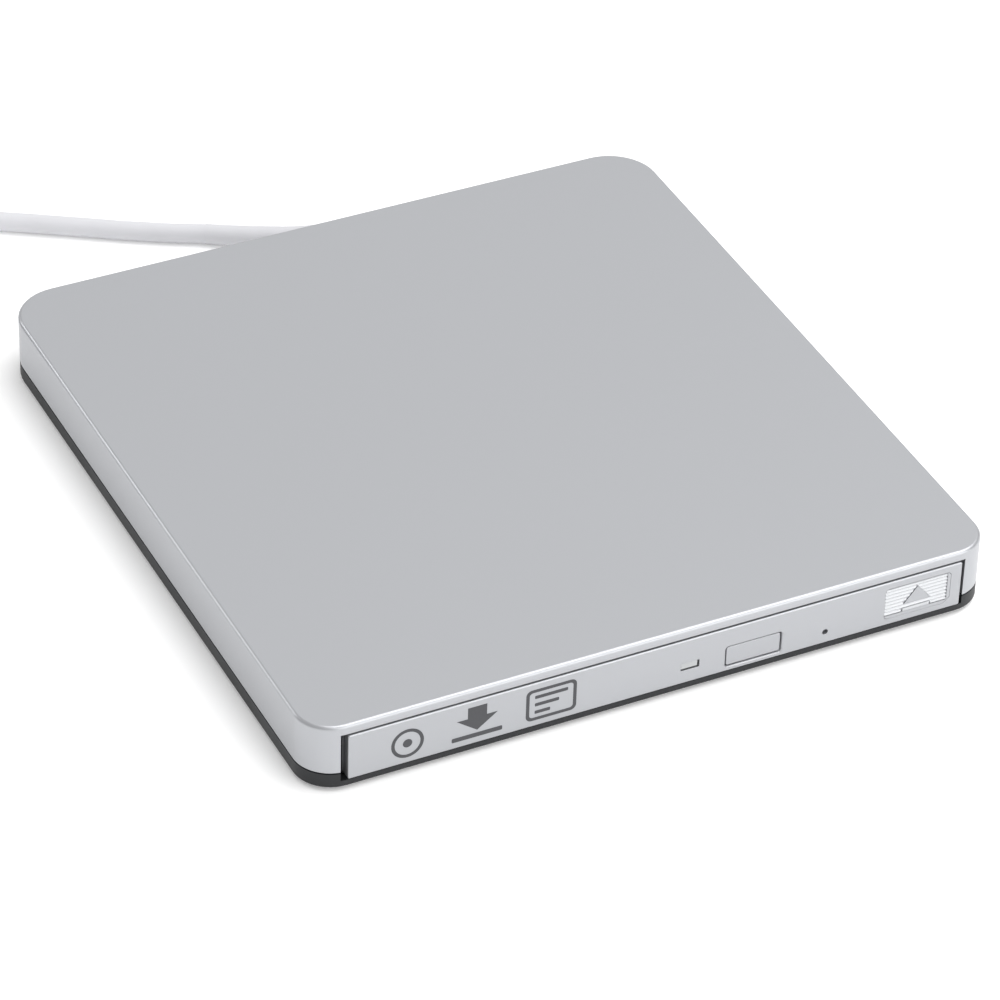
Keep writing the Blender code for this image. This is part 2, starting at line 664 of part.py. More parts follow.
def make_tray():
    tray = tray_box("tray", TRAY_PLASTIC, centred(TRAY_HALF_WIDTH), TRAY_Y, TRAY_Z)
    disc_z = (DISC_FLOOR, TRAY_Z[1] + OVERSHOOT)
    disc = cylinder("disc_recess", None, SPINDLE, DISC_RADIUS, disc_z, TRAY_SLIDE, sides=72)
    pocket = tray_box("pocket", None, POCKET_X, POCKET_Y, (0.0, DECK_UNDERSIDE), corner=1.0, steps=2)
    cut(tray, disc, pocket)
    deck = (DECK_UNDERSIDE - 2.0, DISC_FLOOR + OVERSHOOT)
    cut(tray, traverse_box("mechanism_window", None, WINDOW_ALONG, centred(WINDOW_ACROSS), deck))
    cut(tray, traverse_box("lens_window", None, LENS_WINDOW_ALONG, centred(LENS_WINDOW_ACROSS), deck))
    groove_z = grown(RAIL_Z, RUNNING_GAP)
    groove_y = (TRAY_Y[0] + 1.6, TRAY_Y[1] + OVERSHOOT)
    for side in (-1, 1):
        groove_x = on_side(side, (RAIL_X[0] - RUNNING_GAP, TRAY_HALF_WIDTH + OVERSHOOT))
        cut(tray, tray_box(f"tray_groove_{side}", None, groove_x, groove_y, groove_z))
    lane_x = centred(PIN_RADIUS + STEM_GAP, PIN_PLACE[0])
    lane_y = (POCKET_Y[1] - OVERSHOOT, TRAY_Y[1] + OVERSHOOT)
    cut(tray, tray_box("pin_lane", None, lane_x, lane_y, (0.0, PIN_TOP + STEM_GAP)))
    through = (TRAY_Y[0] - OVERSHOOT, POCKET_Y[0] + OVERSHOOT)
    stem_x = grown(BUTTON_STEM_X, STEM_GAP)
    cut(tray, tray_box("stem_hole", None, stem_x, through, grown(BUTTON_STEM_Z, STEM_GAP)))
    key_stem_z = (0.0, KEY_STEM_Z[1] + STEM_GAP)
    cut(tray, tray_box("key_stem_hole", None, grown(KEY_STEM_X, STEM_GAP), through, key_stem_z))
    cut(tray, tray_box("light_hole", None, grown(LED_X, -0.7), through, LED_Z))
    hole_start = (PINHOLE[0], through[0], PINHOLE[1])
    hole_radius = PINHOLE_RADIUS + 0.2
    hole_length = through[1] - through[0]
    cut(tray, rod("tray_pinhole", None, hole_start, "y", hole_radius, hole_length, TRAY_SLIDE, 12))
    post_radius, post_z = LATCH_POST
    join(tray, cylinder("latch_post", None, LATCH_PIVOT, post_radius, post_z, TRAY_SLIDE, sides=16))


def make_bezel():
    bezel = tray_box("bezel", BEZEL_PAINT, BEZEL_X, BEZEL_Y, BEZEL_Z)
    soften(bezel, BEZEL_EDGE, 2)
    through = grown(BEZEL_Y, OVERSHOOT)
    for name, x, z in (("led", LED_X, LED_Z), ("button", BUTTON_X, BUTTON_Z), ("key", KEY_X, KEY_Z)):
        cut(bezel, tray_box(f"{name}_hole", None, x, through, z))
    start = (PINHOLE[0], through[0], PINHOLE[1])
    length = through[1] - through[0]
    cut(bezel, rod("pinhole", None, start, "y", PINHOLE_RADIUS, length, TRAY_SLIDE))
    led_y = (BEZEL_Y[0] + LED_DEPTH, BEZEL_Y[1])
    tray_box("led_window", CLEAR_PLASTIC, grown(LED_X, -LED_GAP), led_y, grown(LED_Z, -LED_GAP))


def make_buttons():
    """The eject button and the ribbed key: plates that stand clear of the tray by their travel."""
    face_y = (BEZEL_Y[0] + BUTTON_SUNK, BUTTON_BACK)
    stem_y = (STEM_START, STEM_END)
    x, z = grown(BUTTON_X, -BUTTON_GAP), grown(BUTTON_Z, -BUTTON_GAP)
    button = tray_box("eject_button", BEZEL_PAINT, x, face_y, z)
    join(button, tray_box("button_stem", None, BUTTON_STEM_X, stem_y, BUTTON_STEM_Z))
    key_y = (BEZEL_Y[0] + KEY_SUNK, BUTTON_BACK)
    x, z = grown(KEY_X, -BUTTON_GAP), grown(KEY_Z, -BUTTON_GAP)
    key = tray_box("eject_key", BEZEL_PAINT, x, key_y, z)
    for i in range(KEY_RIBS):
        low = KEY_RIB_START + i * KEY_RIB_PITCH
        rib_z = (low, low + KEY_RIB_HEIGHT)
        join(key, tray_box(f"key_rib_{i}", None, grown(KEY_X, -3 * BUTTON_GAP), KEY_RIB_Y, rib_z))
    join(key, arrow())
    join(key, tray_box("key_stem", None, KEY_STEM_X, stem_y, KEY_STEM_Z))


def arrow():
    """A flat upward triangle: a three-sided prism, stretched to its width and height."""
    shape = bmesh.new()
    bmesh.ops.create_cone(shape, cap_ends=True, segments=3, radius1=1.0, radius2=1.0, depth=1.0)
    points = [v.co for v in shape.verts]
    across = max(p.x for p in points) - min(p.x for p in points)
    tall = max(p.y for p in points) - min(p.y for p in points)
    height = ARROW_Z[1] - ARROW_Z[0]
    size = (2 * ARROW_HALF_WIDTH / across * MM, height / tall * MM, ARROW_DEPTH * MM)
    bmesh.ops.scale(shape, vec=size, verts=shape.verts)
    bmesh.ops.transform(shape, matrix=Matrix.Rotation(math.pi / 2, 4, "X"), verts=shape.verts)
    lowest = min(v.co.z for v in shape.verts)
    place = (ARROW_CENTRE_X, BEZEL_Y[0] + ARROW_DEPTH / 2, ARROW_Z[0] - lowest / MM)
    return add_object("key_arrow", mesh_from("key_arrow", shape), None, TRAY_SLIDE, place)


def make_tray_electronics():
    tray_box("tray_shield", STEEL, SHIELD_X, SHIELD_Y, SHIELD_Z)
    board = tray_box("main_board", GREEN_BOARD, *BOARD_SIDE, BOARD_Z)
    join(board, tray_box("board_rear", None, *BOARD_REAR, BOARD_Z))
    join(board, tray_box("board_front", None, *BOARD_FRONT, BOARD_Z))
    on_board("main_chip", CHIP_PLASTIC, MAIN_CHIP, BOARD_Z[1], TRAY_SLIDE)
    on_board("tact_switch", STEEL, TACT_SWITCH, BOARD_Z[1], TRAY_SLIDE)
    tray_box("solenoid", DARK_STEEL, *SOLENOID, corner=1.2, steps=3)


def make_traverse():
    plate = traverse_box("traverse_plate", DARK_STEEL, PLATE_ALONG, PLATE_ACROSS, PLATE_Z)
    tongue_across = centred(PLATE_TONGUE_ACROSS)
    join(plate, traverse_box("plate_tongue", None, PLATE_TONGUE_ALONG, tongue_across, PLATE_Z))
    tab_z = (TAB_FOOT, PLATE_Z[0] + 0.3)
    for side in (-1, 1):
        across = centred(ROD_RADIUS + 0.8, side * ROD_ACROSS)
        for name, along in (("inner", INNER_TAB_ALONG), ("outer", OUTER_TAB_ALONG)):
            tab = traverse_box(f"{name}_tab_{side}", None, (along, along + TAB_THICKNESS), across, tab_z)
            join(plate, tab)
    screw_tab_along = (SCREW_TAB_ALONG, SCREW_TAB_ALONG + TAB_THICKNESS)
    screw_tab_z = (TAB_FOOT, PLATE_Z[1])
    join(plate, traverse_box("screw_tab", None, screw_tab_along, SCREW_TAB_ACROSS, screw_tab_z))
    hole_z = (0.0, PLATE_Z[1] + OVERSHOOT)
    cut(plate, cylinder("table_hole", None, (0.0, 0.0), TABLE_HOLE_RADIUS, hole_z, TRAVERSE, sides=32))
    slot_z = grown(PLATE_Z, 3.0)
    cut(plate, traverse_box("lens_slot", None, PLATE_SLOT_ALONG, centred(PLATE_SLOT_ACROSS), slot_z))
    rod_length = ROD_ALONG[1] - ROD_ALONG[0]
    for i, across in enumerate((-ROD_ACROSS, ROD_ACROSS)):
        start = (ROD_ALONG[0], across, ROD_HEIGHT)
        rod(f"guide_rod_{i + 1}", STEEL, start, "x", ROD_RADIUS, rod_length, TRAVERSE)
    damper_z = (SHIELD_Z[1] + 0.2, PLATE_Z[0] - RESTING_GAP)
    for i, place in enumerate(DAMPERS):
        cylinder(f"damper_{i + 1}", RUBBER, place, DAMPER_RADIUS, damper_z, TRAVERSE, sides=16)


def make_motors():
    spindle = cylinder(
        "spindle_motor", STEEL, (0.0, 0.0), SPINDLE_MOTOR_RADIUS, SPINDLE_MOTOR_Z, TRAVERSE, sides=32
    )
    base_z = (SPINDLE_MOTOR_Z[0], MOTOR_BASE_TOP)
    join(spindle, traverse_box("motor_base", None, MOTOR_BASE_ALONG, centred(MOTOR_BASE_ACROSS), base_z))
    along = (SCREW_ALONG[1] + 0.5, FEED_MOTOR_END)
    across = centred(FEED_MOTOR_ACROSS, SCREW_ACROSS)
    motor = traverse_box("feed_motor", STEEL, along, across, FEED_MOTOR_Z)
    soften(motor, FEED_MOTOR_EDGE, 2)


def make_turntable():
    axis = (0.0, 0.0)
    table = cylinder("turntable", TRAY_PLASTIC, axis, TABLE_RADIUS, TABLE_Z, TRAVERSE, sides=40)
    hub = cylinder("hub", None, axis, HUB_RADIUS, (TABLE_Z[1] - 0.4, HUB_TOP), TRAVERSE, sides=32)
    cap_z = (HUB_TOP - 0.1, CAP_TOP)
    cap = cylinder("hub_cap", None, axis, HUB_RADIUS, cap_z, TRAVERSE, sides=32, tip=CAP_RADIUS)
    join(table, hub, cap)
    claw_count = 3
    for i in range(claw_count):
        turn = 2 * math.pi * i / claw_count
        place = (HUB_RADIUS * math.cos(turn), HUB_RADIUS * math.sin(turn))
        join(table, cylinder(f"disc_claw_{i}", None, place, CLAW_RADIUS, CLAW_Z, TRAVERSE, sides=12))
    dimple_z = (DIMPLE_FLOOR, CAP_TOP + OVERSHOOT)
    cut(table, cylinder("hub_dimple", None, axis, DIMPLE_RADIUS, dimple_z, TRAVERSE, sides=20))


def make_pickup():
    body_along = tuple(LENS_REST + reach for reach in SLED_REACH)
    sled = traverse_box("pickup_sled", DARK_STEEL, body_along, centred(SLED_ACROSS), SLED_Z)
    arm_along = tuple(LENS_REST + reach for reach in ARM_REACH)
    arm_z = (SLED_Z[0] + 0.1, SLED_Z[1])
    for side in (-1, 1):
        across = on_side(side, (SLED_ACROSS - 0.5, ARM_END))
        join(sled, traverse_box(f"sled_arm_{side}", None, arm_along, across, arm_z))
        bore_start = (0.0, side * ROD_ACROSS, ROD_HEIGHT)
        bore_radius = ROD_RADIUS + BORE_GAP
        bore_length = ROD_ALONG[1] + OVERSHOOT
        cut(sled, rod(f"rod_bore_{side}", None, bore_start, "x", bore_radius, bore_length, TRAVERSE))
    nut_along = centred(NUT_TOOTH_HALF_WIDTH, LENS_REST - NUT_BEHIND_LENS)
    nut_across = (SCREW_ACROSS + SCREW_CORE + RUNNING_GAP, NUT_TOOTH_ROOT)
    join(sled, traverse_box("nut_tooth", None, nut_along, nut_across, NUT_TOOTH_Z))
    place = (LENS_REST, 0.0)
    mount = cylinder("lens_mount", None, place, LENS_MOUNT_RADIUS, LENS_MOUNT_Z, TRAVERSE, sides=28)
    join(sled, mount)
    base_radius, tip_radius = LENS_RADII
    cylinder("lens", LENS_GLASS, place, base_radius, LENS_Z, TRAVERSE, sides=24, tip=tip_radius)


def thread_curve(name):
    """The screw's thread as a round wire on a helix; it passes midway between its turns at the nut."""
    data = bpy.data.curves.new(name, "CURVE")
    data.dimensions = "3D"
    data.bevel_depth = THREAD_RADIUS * MM
    data.bevel_resolution = 0
    data.use_fill_caps = True
    count = int(THREAD_TURNS * THREAD_POINTS_PER_TURN) + 1
    first = LENS_REST - NUT_BEHIND_LENS - THREAD_LEAD / 2
    spline = data.splines.new("POLY")
    spline.points.add(count - 1)
    for i, point in enumerate(spline.points):
        turns = i / THREAD_POINTS_PER_TURN
        angle = 2 * math.pi * turns
        place = (first + THREAD_LEAD * turns, SCREW_CORE * math.cos(angle), SCREW_CORE * math.sin(angle))
        point.co = (*(c * MM for c in place), 1.0)
    return data


def mesh_of_curve(curve):
    """Replaces a curve object by a welded mesh object of the same name, kind and place."""
    graph = bpy.context.evaluated_depsgraph_get()
    data = bpy.data.meshes.new_from_object(curve.evaluated_get(graph))
    shape = bmesh.new()
    shape.from_mesh(data)
    bmesh.ops.remove_doubles(shape, verts=shape.verts, dist=1e-7)
    bmesh.ops.recalc_face_normals(shape, faces=shape.faces)
    shape.to_mesh(data)
    shape.free()
    name, parent, place = curve.name, curve.parent, curve.location.copy()
    hidden, group = curve.hide_render, curve.users_collection[0]
    bpy.data.objects.remove(curve)
    made = bpy.data.objects.new(name, data)
    made.parent = parent
    made.location = place
    made.hide_render = hidden
    made.display_type = "WIRE" if hidden else "TEXTURED"
    group.objects.link(made)
    return made


def make_lead_screw():
    start = (SCREW_ALONG[0], SCREW_ACROSS, SCREW_HEIGHT)
    length = SCREW_ALONG[1] - SCREW_ALONG[0]
    screw_rod = rod("lead_screw", STEEL, start, "x", SCREW_CORE, length, TRAVERSE, sides=10)
    place = (0.0, SCREW_ACROSS, SCREW_HEIGHT)
    thread = mesh_of_curve(add_object("thread", thread_curve("thread"), None, TRAVERSE, place))
    join(screw_rod, thread)


def from_pivot(limits):
    """A latch part's X and Y limits, from those given from the pivot."""
    return [tuple(centre + reach for reach in pair) for centre, pair in zip(LATCH_PIVOT, limits)]


def make_latch():
    eye = cylinder("latch_lever", NYLON, LATCH_PIVOT, LATCH_EYE_RADIUS, LATCH_Z, TRAY_SLIDE, sides=20)
    for name, limits in (("arm", LATCH_ARM), ("finger", LATCH_FINGER), ("tail", LATCH_TAIL)):
        join(eye, tray_box(f"latch_{name}", None, *from_pivot(limits), LATCH_Z))
    bore_z = grown(LATCH_Z, OVERSHOOT)
    cut(eye, cylinder("latch_bore", None, LATCH_PIVOT, LATCH_BORE_RADIUS, bore_z, TRAY_SLIDE, sides=16))


# Cable -------------------------------------------------------------------------------------------------


def smooth_route(points, count):
    """Points evenly spread on a Catmull-Rom curve through the route's own points."""
    knots = [Vector(p) for p in points]
    knots = [2 * knots[0] - knots[1], *knots, 2 * knots[-1] - knots[-2]]
    fine = []
    for a, b, c, d in zip(knots, knots[1:], knots[2:], knots[3:]):
        for step in range(ROUTE_STEPS):
            t = step / ROUTE_STEPS
            fine.append(
                0.5 * (2 * b + (c - a) * t + (2 * a - 5 * b + 4 * c - d) * t**2
                       + (3 * b - a - 3 * c + d) * t**3)
            )
    fine.append(knots[-2])
    reach = [0.0]
    for before, after in zip(fine, fine[1:]):
        reach.append(reach[-1] + (after - before).length)
    spread = []
    for i in range(count):
        wanted = reach[-1] * i / (count - 1)
        j = next((k for k in range(1, len(reach)) if reach[k] >= wanted - 1e-9), len(reach) - 1)
        share = (wanted - reach[j - 1]) / (reach[j] - reach[j - 1])
        spread.append(fine[j - 1].lerp(fine[j], share))
    return spread


def shortened(route, gap):
    """The route with its last point drawn back by gap, so that the tube stops short of its neighbour."""
    last, before = Vector(route[-1]), Vector(route[-2])
    return [*route[:-1], last + (before - last).normalized() * gap]


def tube(name, look, route, count, radii):
    """A round tube along a route; its radius goes evenly from the first of radii to the second."""
    data = bpy.data.curves.new(name, "CURVE")
    data.dimensions = "3D"
    data.bevel_depth = MM
    data.bevel_resolution = 2
    data.use_fill_caps = True
    spline = data.splines.new("POLY")
    spline.points.add(count - 1)
    for i, (point, place) in enumerate(zip(spline.points, smooth_route(route, count))):
        point.co = (*(place * MM), 1.0)
        point.radius = radii[0] + (radii[1] - radii[0]) * i / (count - 1)
    return add_object(name, data, look, CASE, (0.0, 0.0, 0.0))


def make_cable():
    relief = shortened(RELIEF_ROUTE, FACE_GAP)
    relief_radii = (RELIEF_BASE_RADIUS, RELIEF_TIP_RADIUS)
    even = (CABLE_RADIUS, CABLE_RADIUS)
    tube("strain_relief", CABLE_JACKET, relief, RELIEF_POINTS, relief_radii)
    tube("cable", CABLE_JACKET, CABLE_ROUTE, CABLE_POINTS, even)
    tube("cable_tail", CABLE_JACKET, shortened(TAIL_ROUTE, FACE_GAP), TAIL_POINTS, even)


def ring(name, look, centre, inner, outer, z, sides=48):
    """A turned ring of rectangular section: a Screw modifier on its profile."""
    shape = bmesh.new()
    corners = [(outer, z[1]), (outer, z[0]), (inner, z[0]), (inner, z[1])]
    points = [shape.verts.new((r * MM, 0.0, h * MM)) for r, h in corners]
    for a, b in zip(points, points[1:] + points[:1]):
        shape.edges.new((a, b))
    made = add_object(name, mesh_from(name, shape), look, CASE, (*centre, 0.0))
    turned = made.modifiers.new("turn", "SCREW")
    turned.steps = sides
    turned.render_steps = sides
    turned.use_merge_vertices = True
    turned.merge_threshold = 1e-6
    return made


def make_coil():
    top = 2 * CABLE_RADIUS * COIL_LAYERS + COIL_LIFT
    half = CABLE_RADIUS * COIL_LANES
    radii = (COIL_RADIUS - half, COIL_RADIUS + half)
    ring("cable_coil", CABLE_JACKET, COIL_CENTRE, *radii, (COIL_LIFT, top))
    x, y = COIL_CENTRE
    front = y - COIL_RADIUS
    inside = half + 2 * FACE_GAP
    hollow_top = top + FACE_GAP
    band_y = centred(inside + TIE_BAND, front)
    tie = box("cable_tie", BLACK_PLASTIC, centred(TIE_HALF_WIDTH, x), band_y, (0.0, hollow_top + TIE_BAND))
    hollow_x = centred(TIE_HALF_WIDTH + OVERSHOOT, x)
    cut(tie, box("tie_hollow", None, hollow_x, centred(inside, front), (-OVERSHOOT, hollow_top)))


def make_plug():
    """The plug lies along its own -Y from the end of the cable."""
    plug = empty("plug", CASE, (*TAIL_ROUTE[-1][:2], 0.0), PLUG_TURN)
    width, length, height = GRIP_SIZE
    grip = box(
        "plug_grip", CABLE_JACKET, centred(width / 2), (-length, 0.0), (0.0, height), plug,
        corner=GRIP_CORNER, top=GRIP_EDGE, steps=3,
    )
    width, length, thickness = SHELL_SIZE
    low = (height - thickness) / 2
    shell_z = (low, low + thickness)
    shell_y = (SHELL_START - length, SHELL_START)
    socket_y = (-GRIP_SIZE[1] - OVERSHOOT, SHELL_START + FACE_GAP)
    socket_x = centred(width / 2 + FACE_GAP)
    cut(grip, box("grip_socket", None, socket_x, socket_y, grown(shell_z, FACE_GAP), plug))
    shell = box("plug_shell", STEEL, centred(width / 2), shell_y, shell_z, plug)
    mouth_y = (shell_y[0] - OVERSHOOT, SHELL_STOP)
    mouth_x = centred(width / 2 - SHELL_WALL)
    cut(shell, box("shell_mouth", None, mouth_x, mouth_y, grown(shell_z, -SHELL_WALL), plug))
    window_width, window_y = SHELL_WINDOW
    window_z = (shell_z[1] - 1.0, shell_z[1] + 1.0)
    for i, x in enumerate(SHELL_WINDOWS_X):
        cut(shell, box(f"shell_window_{i}", None, (x, x + window_width), window_y, window_z, plug))
    tongue_z = tuple(low + z for z in TONGUE_Z)
    box("plug_tongue", NYLON, centred(TONGUE_HALF_WIDTH), TONGUE_Y, tongue_z, plug)


make_top_cover()
make_bottom_cover()
make_feet_and_screws()
make_cage()
make_rails()
make_bridge()
make_grommet()
make_tray()
make_bezel()
make_buttons()
make_tray_electronics()
make_traverse()
make_motors()
make_turntable()
make_pickup()
make_lead_screw()
make_latch()
make_cable()
make_coil()
make_plug()
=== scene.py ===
"""The looks of an external slim optical drive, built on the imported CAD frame."""

import json
import math

import bmesh
import bpy
from mathutils import Matrix, Vector

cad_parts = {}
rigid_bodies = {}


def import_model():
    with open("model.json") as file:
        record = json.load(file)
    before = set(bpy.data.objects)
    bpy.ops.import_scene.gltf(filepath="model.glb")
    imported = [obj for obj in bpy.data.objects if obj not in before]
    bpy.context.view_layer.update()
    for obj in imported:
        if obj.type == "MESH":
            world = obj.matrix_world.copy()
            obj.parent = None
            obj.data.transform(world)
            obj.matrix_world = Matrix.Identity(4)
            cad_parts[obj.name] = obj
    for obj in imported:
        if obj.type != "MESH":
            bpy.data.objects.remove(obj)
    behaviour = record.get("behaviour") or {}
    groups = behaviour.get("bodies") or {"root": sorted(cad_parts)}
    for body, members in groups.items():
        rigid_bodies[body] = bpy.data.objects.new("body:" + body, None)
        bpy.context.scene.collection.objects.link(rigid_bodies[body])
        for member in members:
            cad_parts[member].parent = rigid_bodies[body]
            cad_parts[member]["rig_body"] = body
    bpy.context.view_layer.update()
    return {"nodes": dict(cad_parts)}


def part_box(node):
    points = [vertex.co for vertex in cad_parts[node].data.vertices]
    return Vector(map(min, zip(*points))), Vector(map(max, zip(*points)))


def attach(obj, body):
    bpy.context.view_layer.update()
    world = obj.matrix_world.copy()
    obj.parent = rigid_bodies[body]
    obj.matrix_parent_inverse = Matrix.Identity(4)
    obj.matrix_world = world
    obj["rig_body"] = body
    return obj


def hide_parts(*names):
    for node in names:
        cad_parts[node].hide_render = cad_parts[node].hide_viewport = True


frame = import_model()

MM = 0.001

# The colour sockets of a mix node
MIX_COLOURS = (6, 7)
MIX_RESULT = 2

# Camera: angles in degrees, lengths in millimetres
CAMERA_AZIMUTH = -26.754
CAMERA_ELEVATION = 36.682
CAMERA_ROLL = 1.750
CAMERA_DISTANCE = 983.2
CAMERA_LENS = 178.60
CAMERA_AIM = (0.0, 0.2, 0.8)
CAMERA_AIM_RIGHT = 3.551
CAMERA_AIM_UP = -4.949

# The cable's route, in millimetres: the CAD source's, up to 0.25 lower where the strain relief ends
CABLE_RADIUS = 2.05
RELIEF_ROUTE = (
    (8.0, 76.7, 7.6), (8.0, 79.0, 7.5), (7.7, 81.4, 6.8), (6.2, 84.0, 5.2), (3.1, 86.4, 3.8),
    (-1.6, 89.5, 2.85), (-9.0, 94.1, 2.45), (-17.5, 99.4, 2.2),
)
CABLE_ROUTE = (
    (-17.5, 99.4, 2.2), (-23.0, 102.2, 2.12), (-28.6, 105.3, 2.09), (-34.3, 108.6, 2.08),
    (-39.8, 112.0, 2.08), (-45.3, 115.3, 2.08), (-50.7, 118.6, 2.08), (-56.4, 121.9, 2.08),
    (-62.1, 125.3, 2.08), (-67.6, 128.6, 2.08),
)
TAIL_ROUTE = (
    (-123.2, 111.2, 5.0), (-125.0, 107.6, 4.6), (-126.2, 103.8, 4.2), (-126.7, 99.8, 3.95),
    (-126.5, 95.8, 3.82), (-125.9, 91.9, 3.78),
)
COIL_CENTRE = (-94.0, 115.2)
COIL_START_ANGLE = 58.87
COIL_TURNS = 2.25
COIL_POINTS_PER_TURN = 24
OUTER_LANE = 25.05
INNER_LANE = 20.95
TOP_LANE = 23.0
LOW_LAYER = 2.08
HIGH_LAYER = 6.22
LANE_CHANGE = 0.25
LIFT_START = 1.5
LIFT_TURNS = 0.3
CABLE_POINT_SPACING = 1.4
RELIEF_POINT_SPACING = 0.5
RELIEF_RADII = (3.0, 2.12)

# The bezel and what sits in it, in millimetres; places are (x, z) on the front face
FRONT_SET_BACK = 0.02
BEZEL_CORNER = 0.35
BEZEL_RIM = 0.30
HOLE_DEPTH = 10.0
CUTTER_LEAD = 1.0
PINHOLE_PLACE = (35.0, 5.15)
PINHOLE_RADIUS = 0.6
PLATE_BACK = -74.9
STEM_CORNER = 0.2
STEM_OVERLAP = 0.6
LIGHT_SLOT_MARGIN = 0.12
LIGHT_SLOT_CORNER = 0.15
LIGHT_GAP = 0.42
LIGHT_CORNER = 0.16
LIGHT_RIM = 0.1
# The black block behind the gap below the light's window is painted shade in that gap
LIGHT_SHADE_BLOCK_DEPTH = 0.5
LIGHT_SHADE_BLOCK_HEIGHT = 0.36
BUTTON_HOLE_MARGIN = 0.15
BUTTON_HOLE_CORNER = 0.55
BUTTON_HOLE_FLARE = 0.3
BUTTON_SHORTER_BY = 0.12
BUTTON_CORNER = 0.45
BUTTON_RIM = 0.16
BUTTON_STEM = ((14.5, 4.9), (16.9, 6.2))
KEY_STEM = ((52.5, 4.2), (54.5, 5.8))
KEY_LOW = (47.85, 3.95)
KEY_HIGH = (62.0, 11.0)
KEY_CORNER = 0.8
KEY_CUT_CORNER = 1.3
KEY_GAP = 0.06
KEY_SET_BACK = 0.03
KEY_POCKET = ((46.0, 4.7), (61.35, 10.93))
RIB_ENDS = ((46.5, 4.65), (61.3, 11.5))
RIB_X = (46.0, 63.0)
POCKET_CORNER = 0.3
RIB_COUNT = 8
RIB_PITCH = 0.79
RIB_START = 5.06
RIB_DEPTH = 0.34
RIB_PROFILE = ((0.44, 0.22), (0.34, 0.22), (0.0, -0.12), (0.0, -0.19), (0.34, -0.28), (0.44, -0.28))
RIB_END_GAP = 0.04
RIB_END_DEPTH = 3.0
SIGN_CLEARANCE = 0.32
SIGN_CLEAR_DEPTH = 0.3
TRIANGLE = ((51.98, 6.48), (57.62, 6.48), (54.8, 9.85))
TRIANGLE_DEPTH = 0.7
BAR = ((51.8, 4.72), (57.6, 4.72), (57.6, 5.45), (51.8, 5.45))
BAR_SET_BACK = 0.04
BAR_DEPTH = 0.28

# Printed signs, in millimetres; places are (x, z) on the front face
INK_THICKNESS = 0.04
RING_CENTRE = (-52.05, 7.1)
RING_RADII = (3.3, 2.6, 0.95)
ARROW = (
    (-39.9, 11.2), (-36.0, 11.2), (-36.0, 8.7), (-33.8, 8.7), (-37.95, 5.6), (-42.1, 8.7), (-39.9, 8.7),
)
TRAY_LINE = ((-43.1, 4.0), (-32.8, 5.0), 0.25)
LABEL_FRAME = (((-28.0, 3.9), (-17.6, 11.15), 1.2), ((-27.3, 4.6), (-18.3, 10.45), 0.7))
LABEL_LINES = (
    ((-26.2, 8.9), (-19.4, 9.65), 0.2),
    ((-26.2, 7.15), (-21.2, 7.9), 0.2),
    ((-26.2, 5.4), (-23.0, 6.15), 0.2),
)

# Studio: lights as name, direction, distance in metres, size in metres and watts
FLOOR_HALF_SIZE = 3.0
FLOOR_DROP = 0.0001
FLOOR_GLOW = 0.18
SKY_STRENGTH = 0.58
LIGHTS = (
    ("overhead", (0.36, -0.12, 0.92), 0.9, (0.7, 0.9), 6.4),
    ("rim_left", (-0.58, 0.72, 0.40), 1.1, (0.35, 0.35), 1.4),
    ("back_soft", (0.36, 0.72, 0.60), 1.4, (1.6, 1.0), 2.3),
    ("front_fill", (0.36, -0.88, 0.30), 1.2, (1.2, 0.5), 4.9),
    ("front_top", (0.05, -0.72, 0.69), 1.2, (1.2, 0.3), 2.2),
)


# Helpers -----------------------------------------------------------------------------------------------


def corners(node):
    """A CAD node's lowest and highest corners in millimetres."""
    low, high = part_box(node)
    return low / MM, high / MM


def smoothstep(x):
    x = min(max(x, 0.0), 1.0)
    return x * x * (3 - 2 * x)


def object_of(name, data):
    made = bpy.data.objects.new(name, data)
    bpy.context.scene.collection.objects.link(made)
    return made


def mesh_of(name, shape):
    data = bpy.data.meshes.new(name)
    shape.to_mesh(data)
    shape.free()
    return data


def soften(piece, width, segments=2, angle=32.0):
    """Rounds a piece's sharp edges by width millimetres and evens the shading of its flat faces."""
    if width:
        bevel = piece.modifiers.new("soft edges", "BEVEL")
        bevel.width = width * MM
        bevel.segments = segments
        bevel.limit_method = "ANGLE"
        bevel.angle_limit = math.radians(angle)
    piece.data.shade_smooth()
    if not width:
        piece.data.set_sharp_from_angle(angle=math.radians(angle))
    even = piece.modifiers.new("even shading", "WEIGHTED_NORMAL")
    even.keep_sharp = True
    even.weight = 100
    return piece


def belongs(piece, look, slot, body, *nodes):
    piece.data.materials.clear()
    piece.data.materials.append(look)
    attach(piece, body)
    if nodes:
        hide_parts(*nodes)
    return piece


def refined(node, look, width, segments=2):
    """A copy of a CAD node's surface with whole faces and soft edges, which stands for the node."""
    shape = bmesh.new()
    shape.from_mesh(frame["nodes"][node].data)
    bmesh.ops.remove_doubles(shape, verts=shape.verts, dist=0.002 * MM)
    bmesh.ops.dissolve_limit(
        shape, angle_limit=math.radians(0.5), verts=shape.verts, edges=shape.edges
    )
    piece = object_of(f"{node}_fine", mesh_of(f"{node}_fine", shape))
    soften(piece, width, segments)
    return belongs(piece, look[0], look[1], frame["nodes"][node]["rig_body"], node)


def box_shape(low, high):
    shape = bmesh.new()
    bmesh.ops.create_cube(shape, size=1.0)
    size = [(b - a) * MM for a, b in zip(low, high)]
    bmesh.ops.scale(shape, vec=size, verts=shape.verts)
    middle = Vector([(a + b) / 2 * MM for a, b in zip(low, high)])
    bmesh.ops.translate(shape, vec=middle, verts=shape.verts)
    return shape


def edges_along(shape, axis):
    return [e for e in shape.edges if abs(e.verts[0].co[axis] - e.verts[1].co[axis]) > 1e-6]


def edges_at(shape, axis, level):
    return [e for e in shape.edges if all(abs(v.co[axis] - level * MM) < 1e-7 for v in e.verts)]


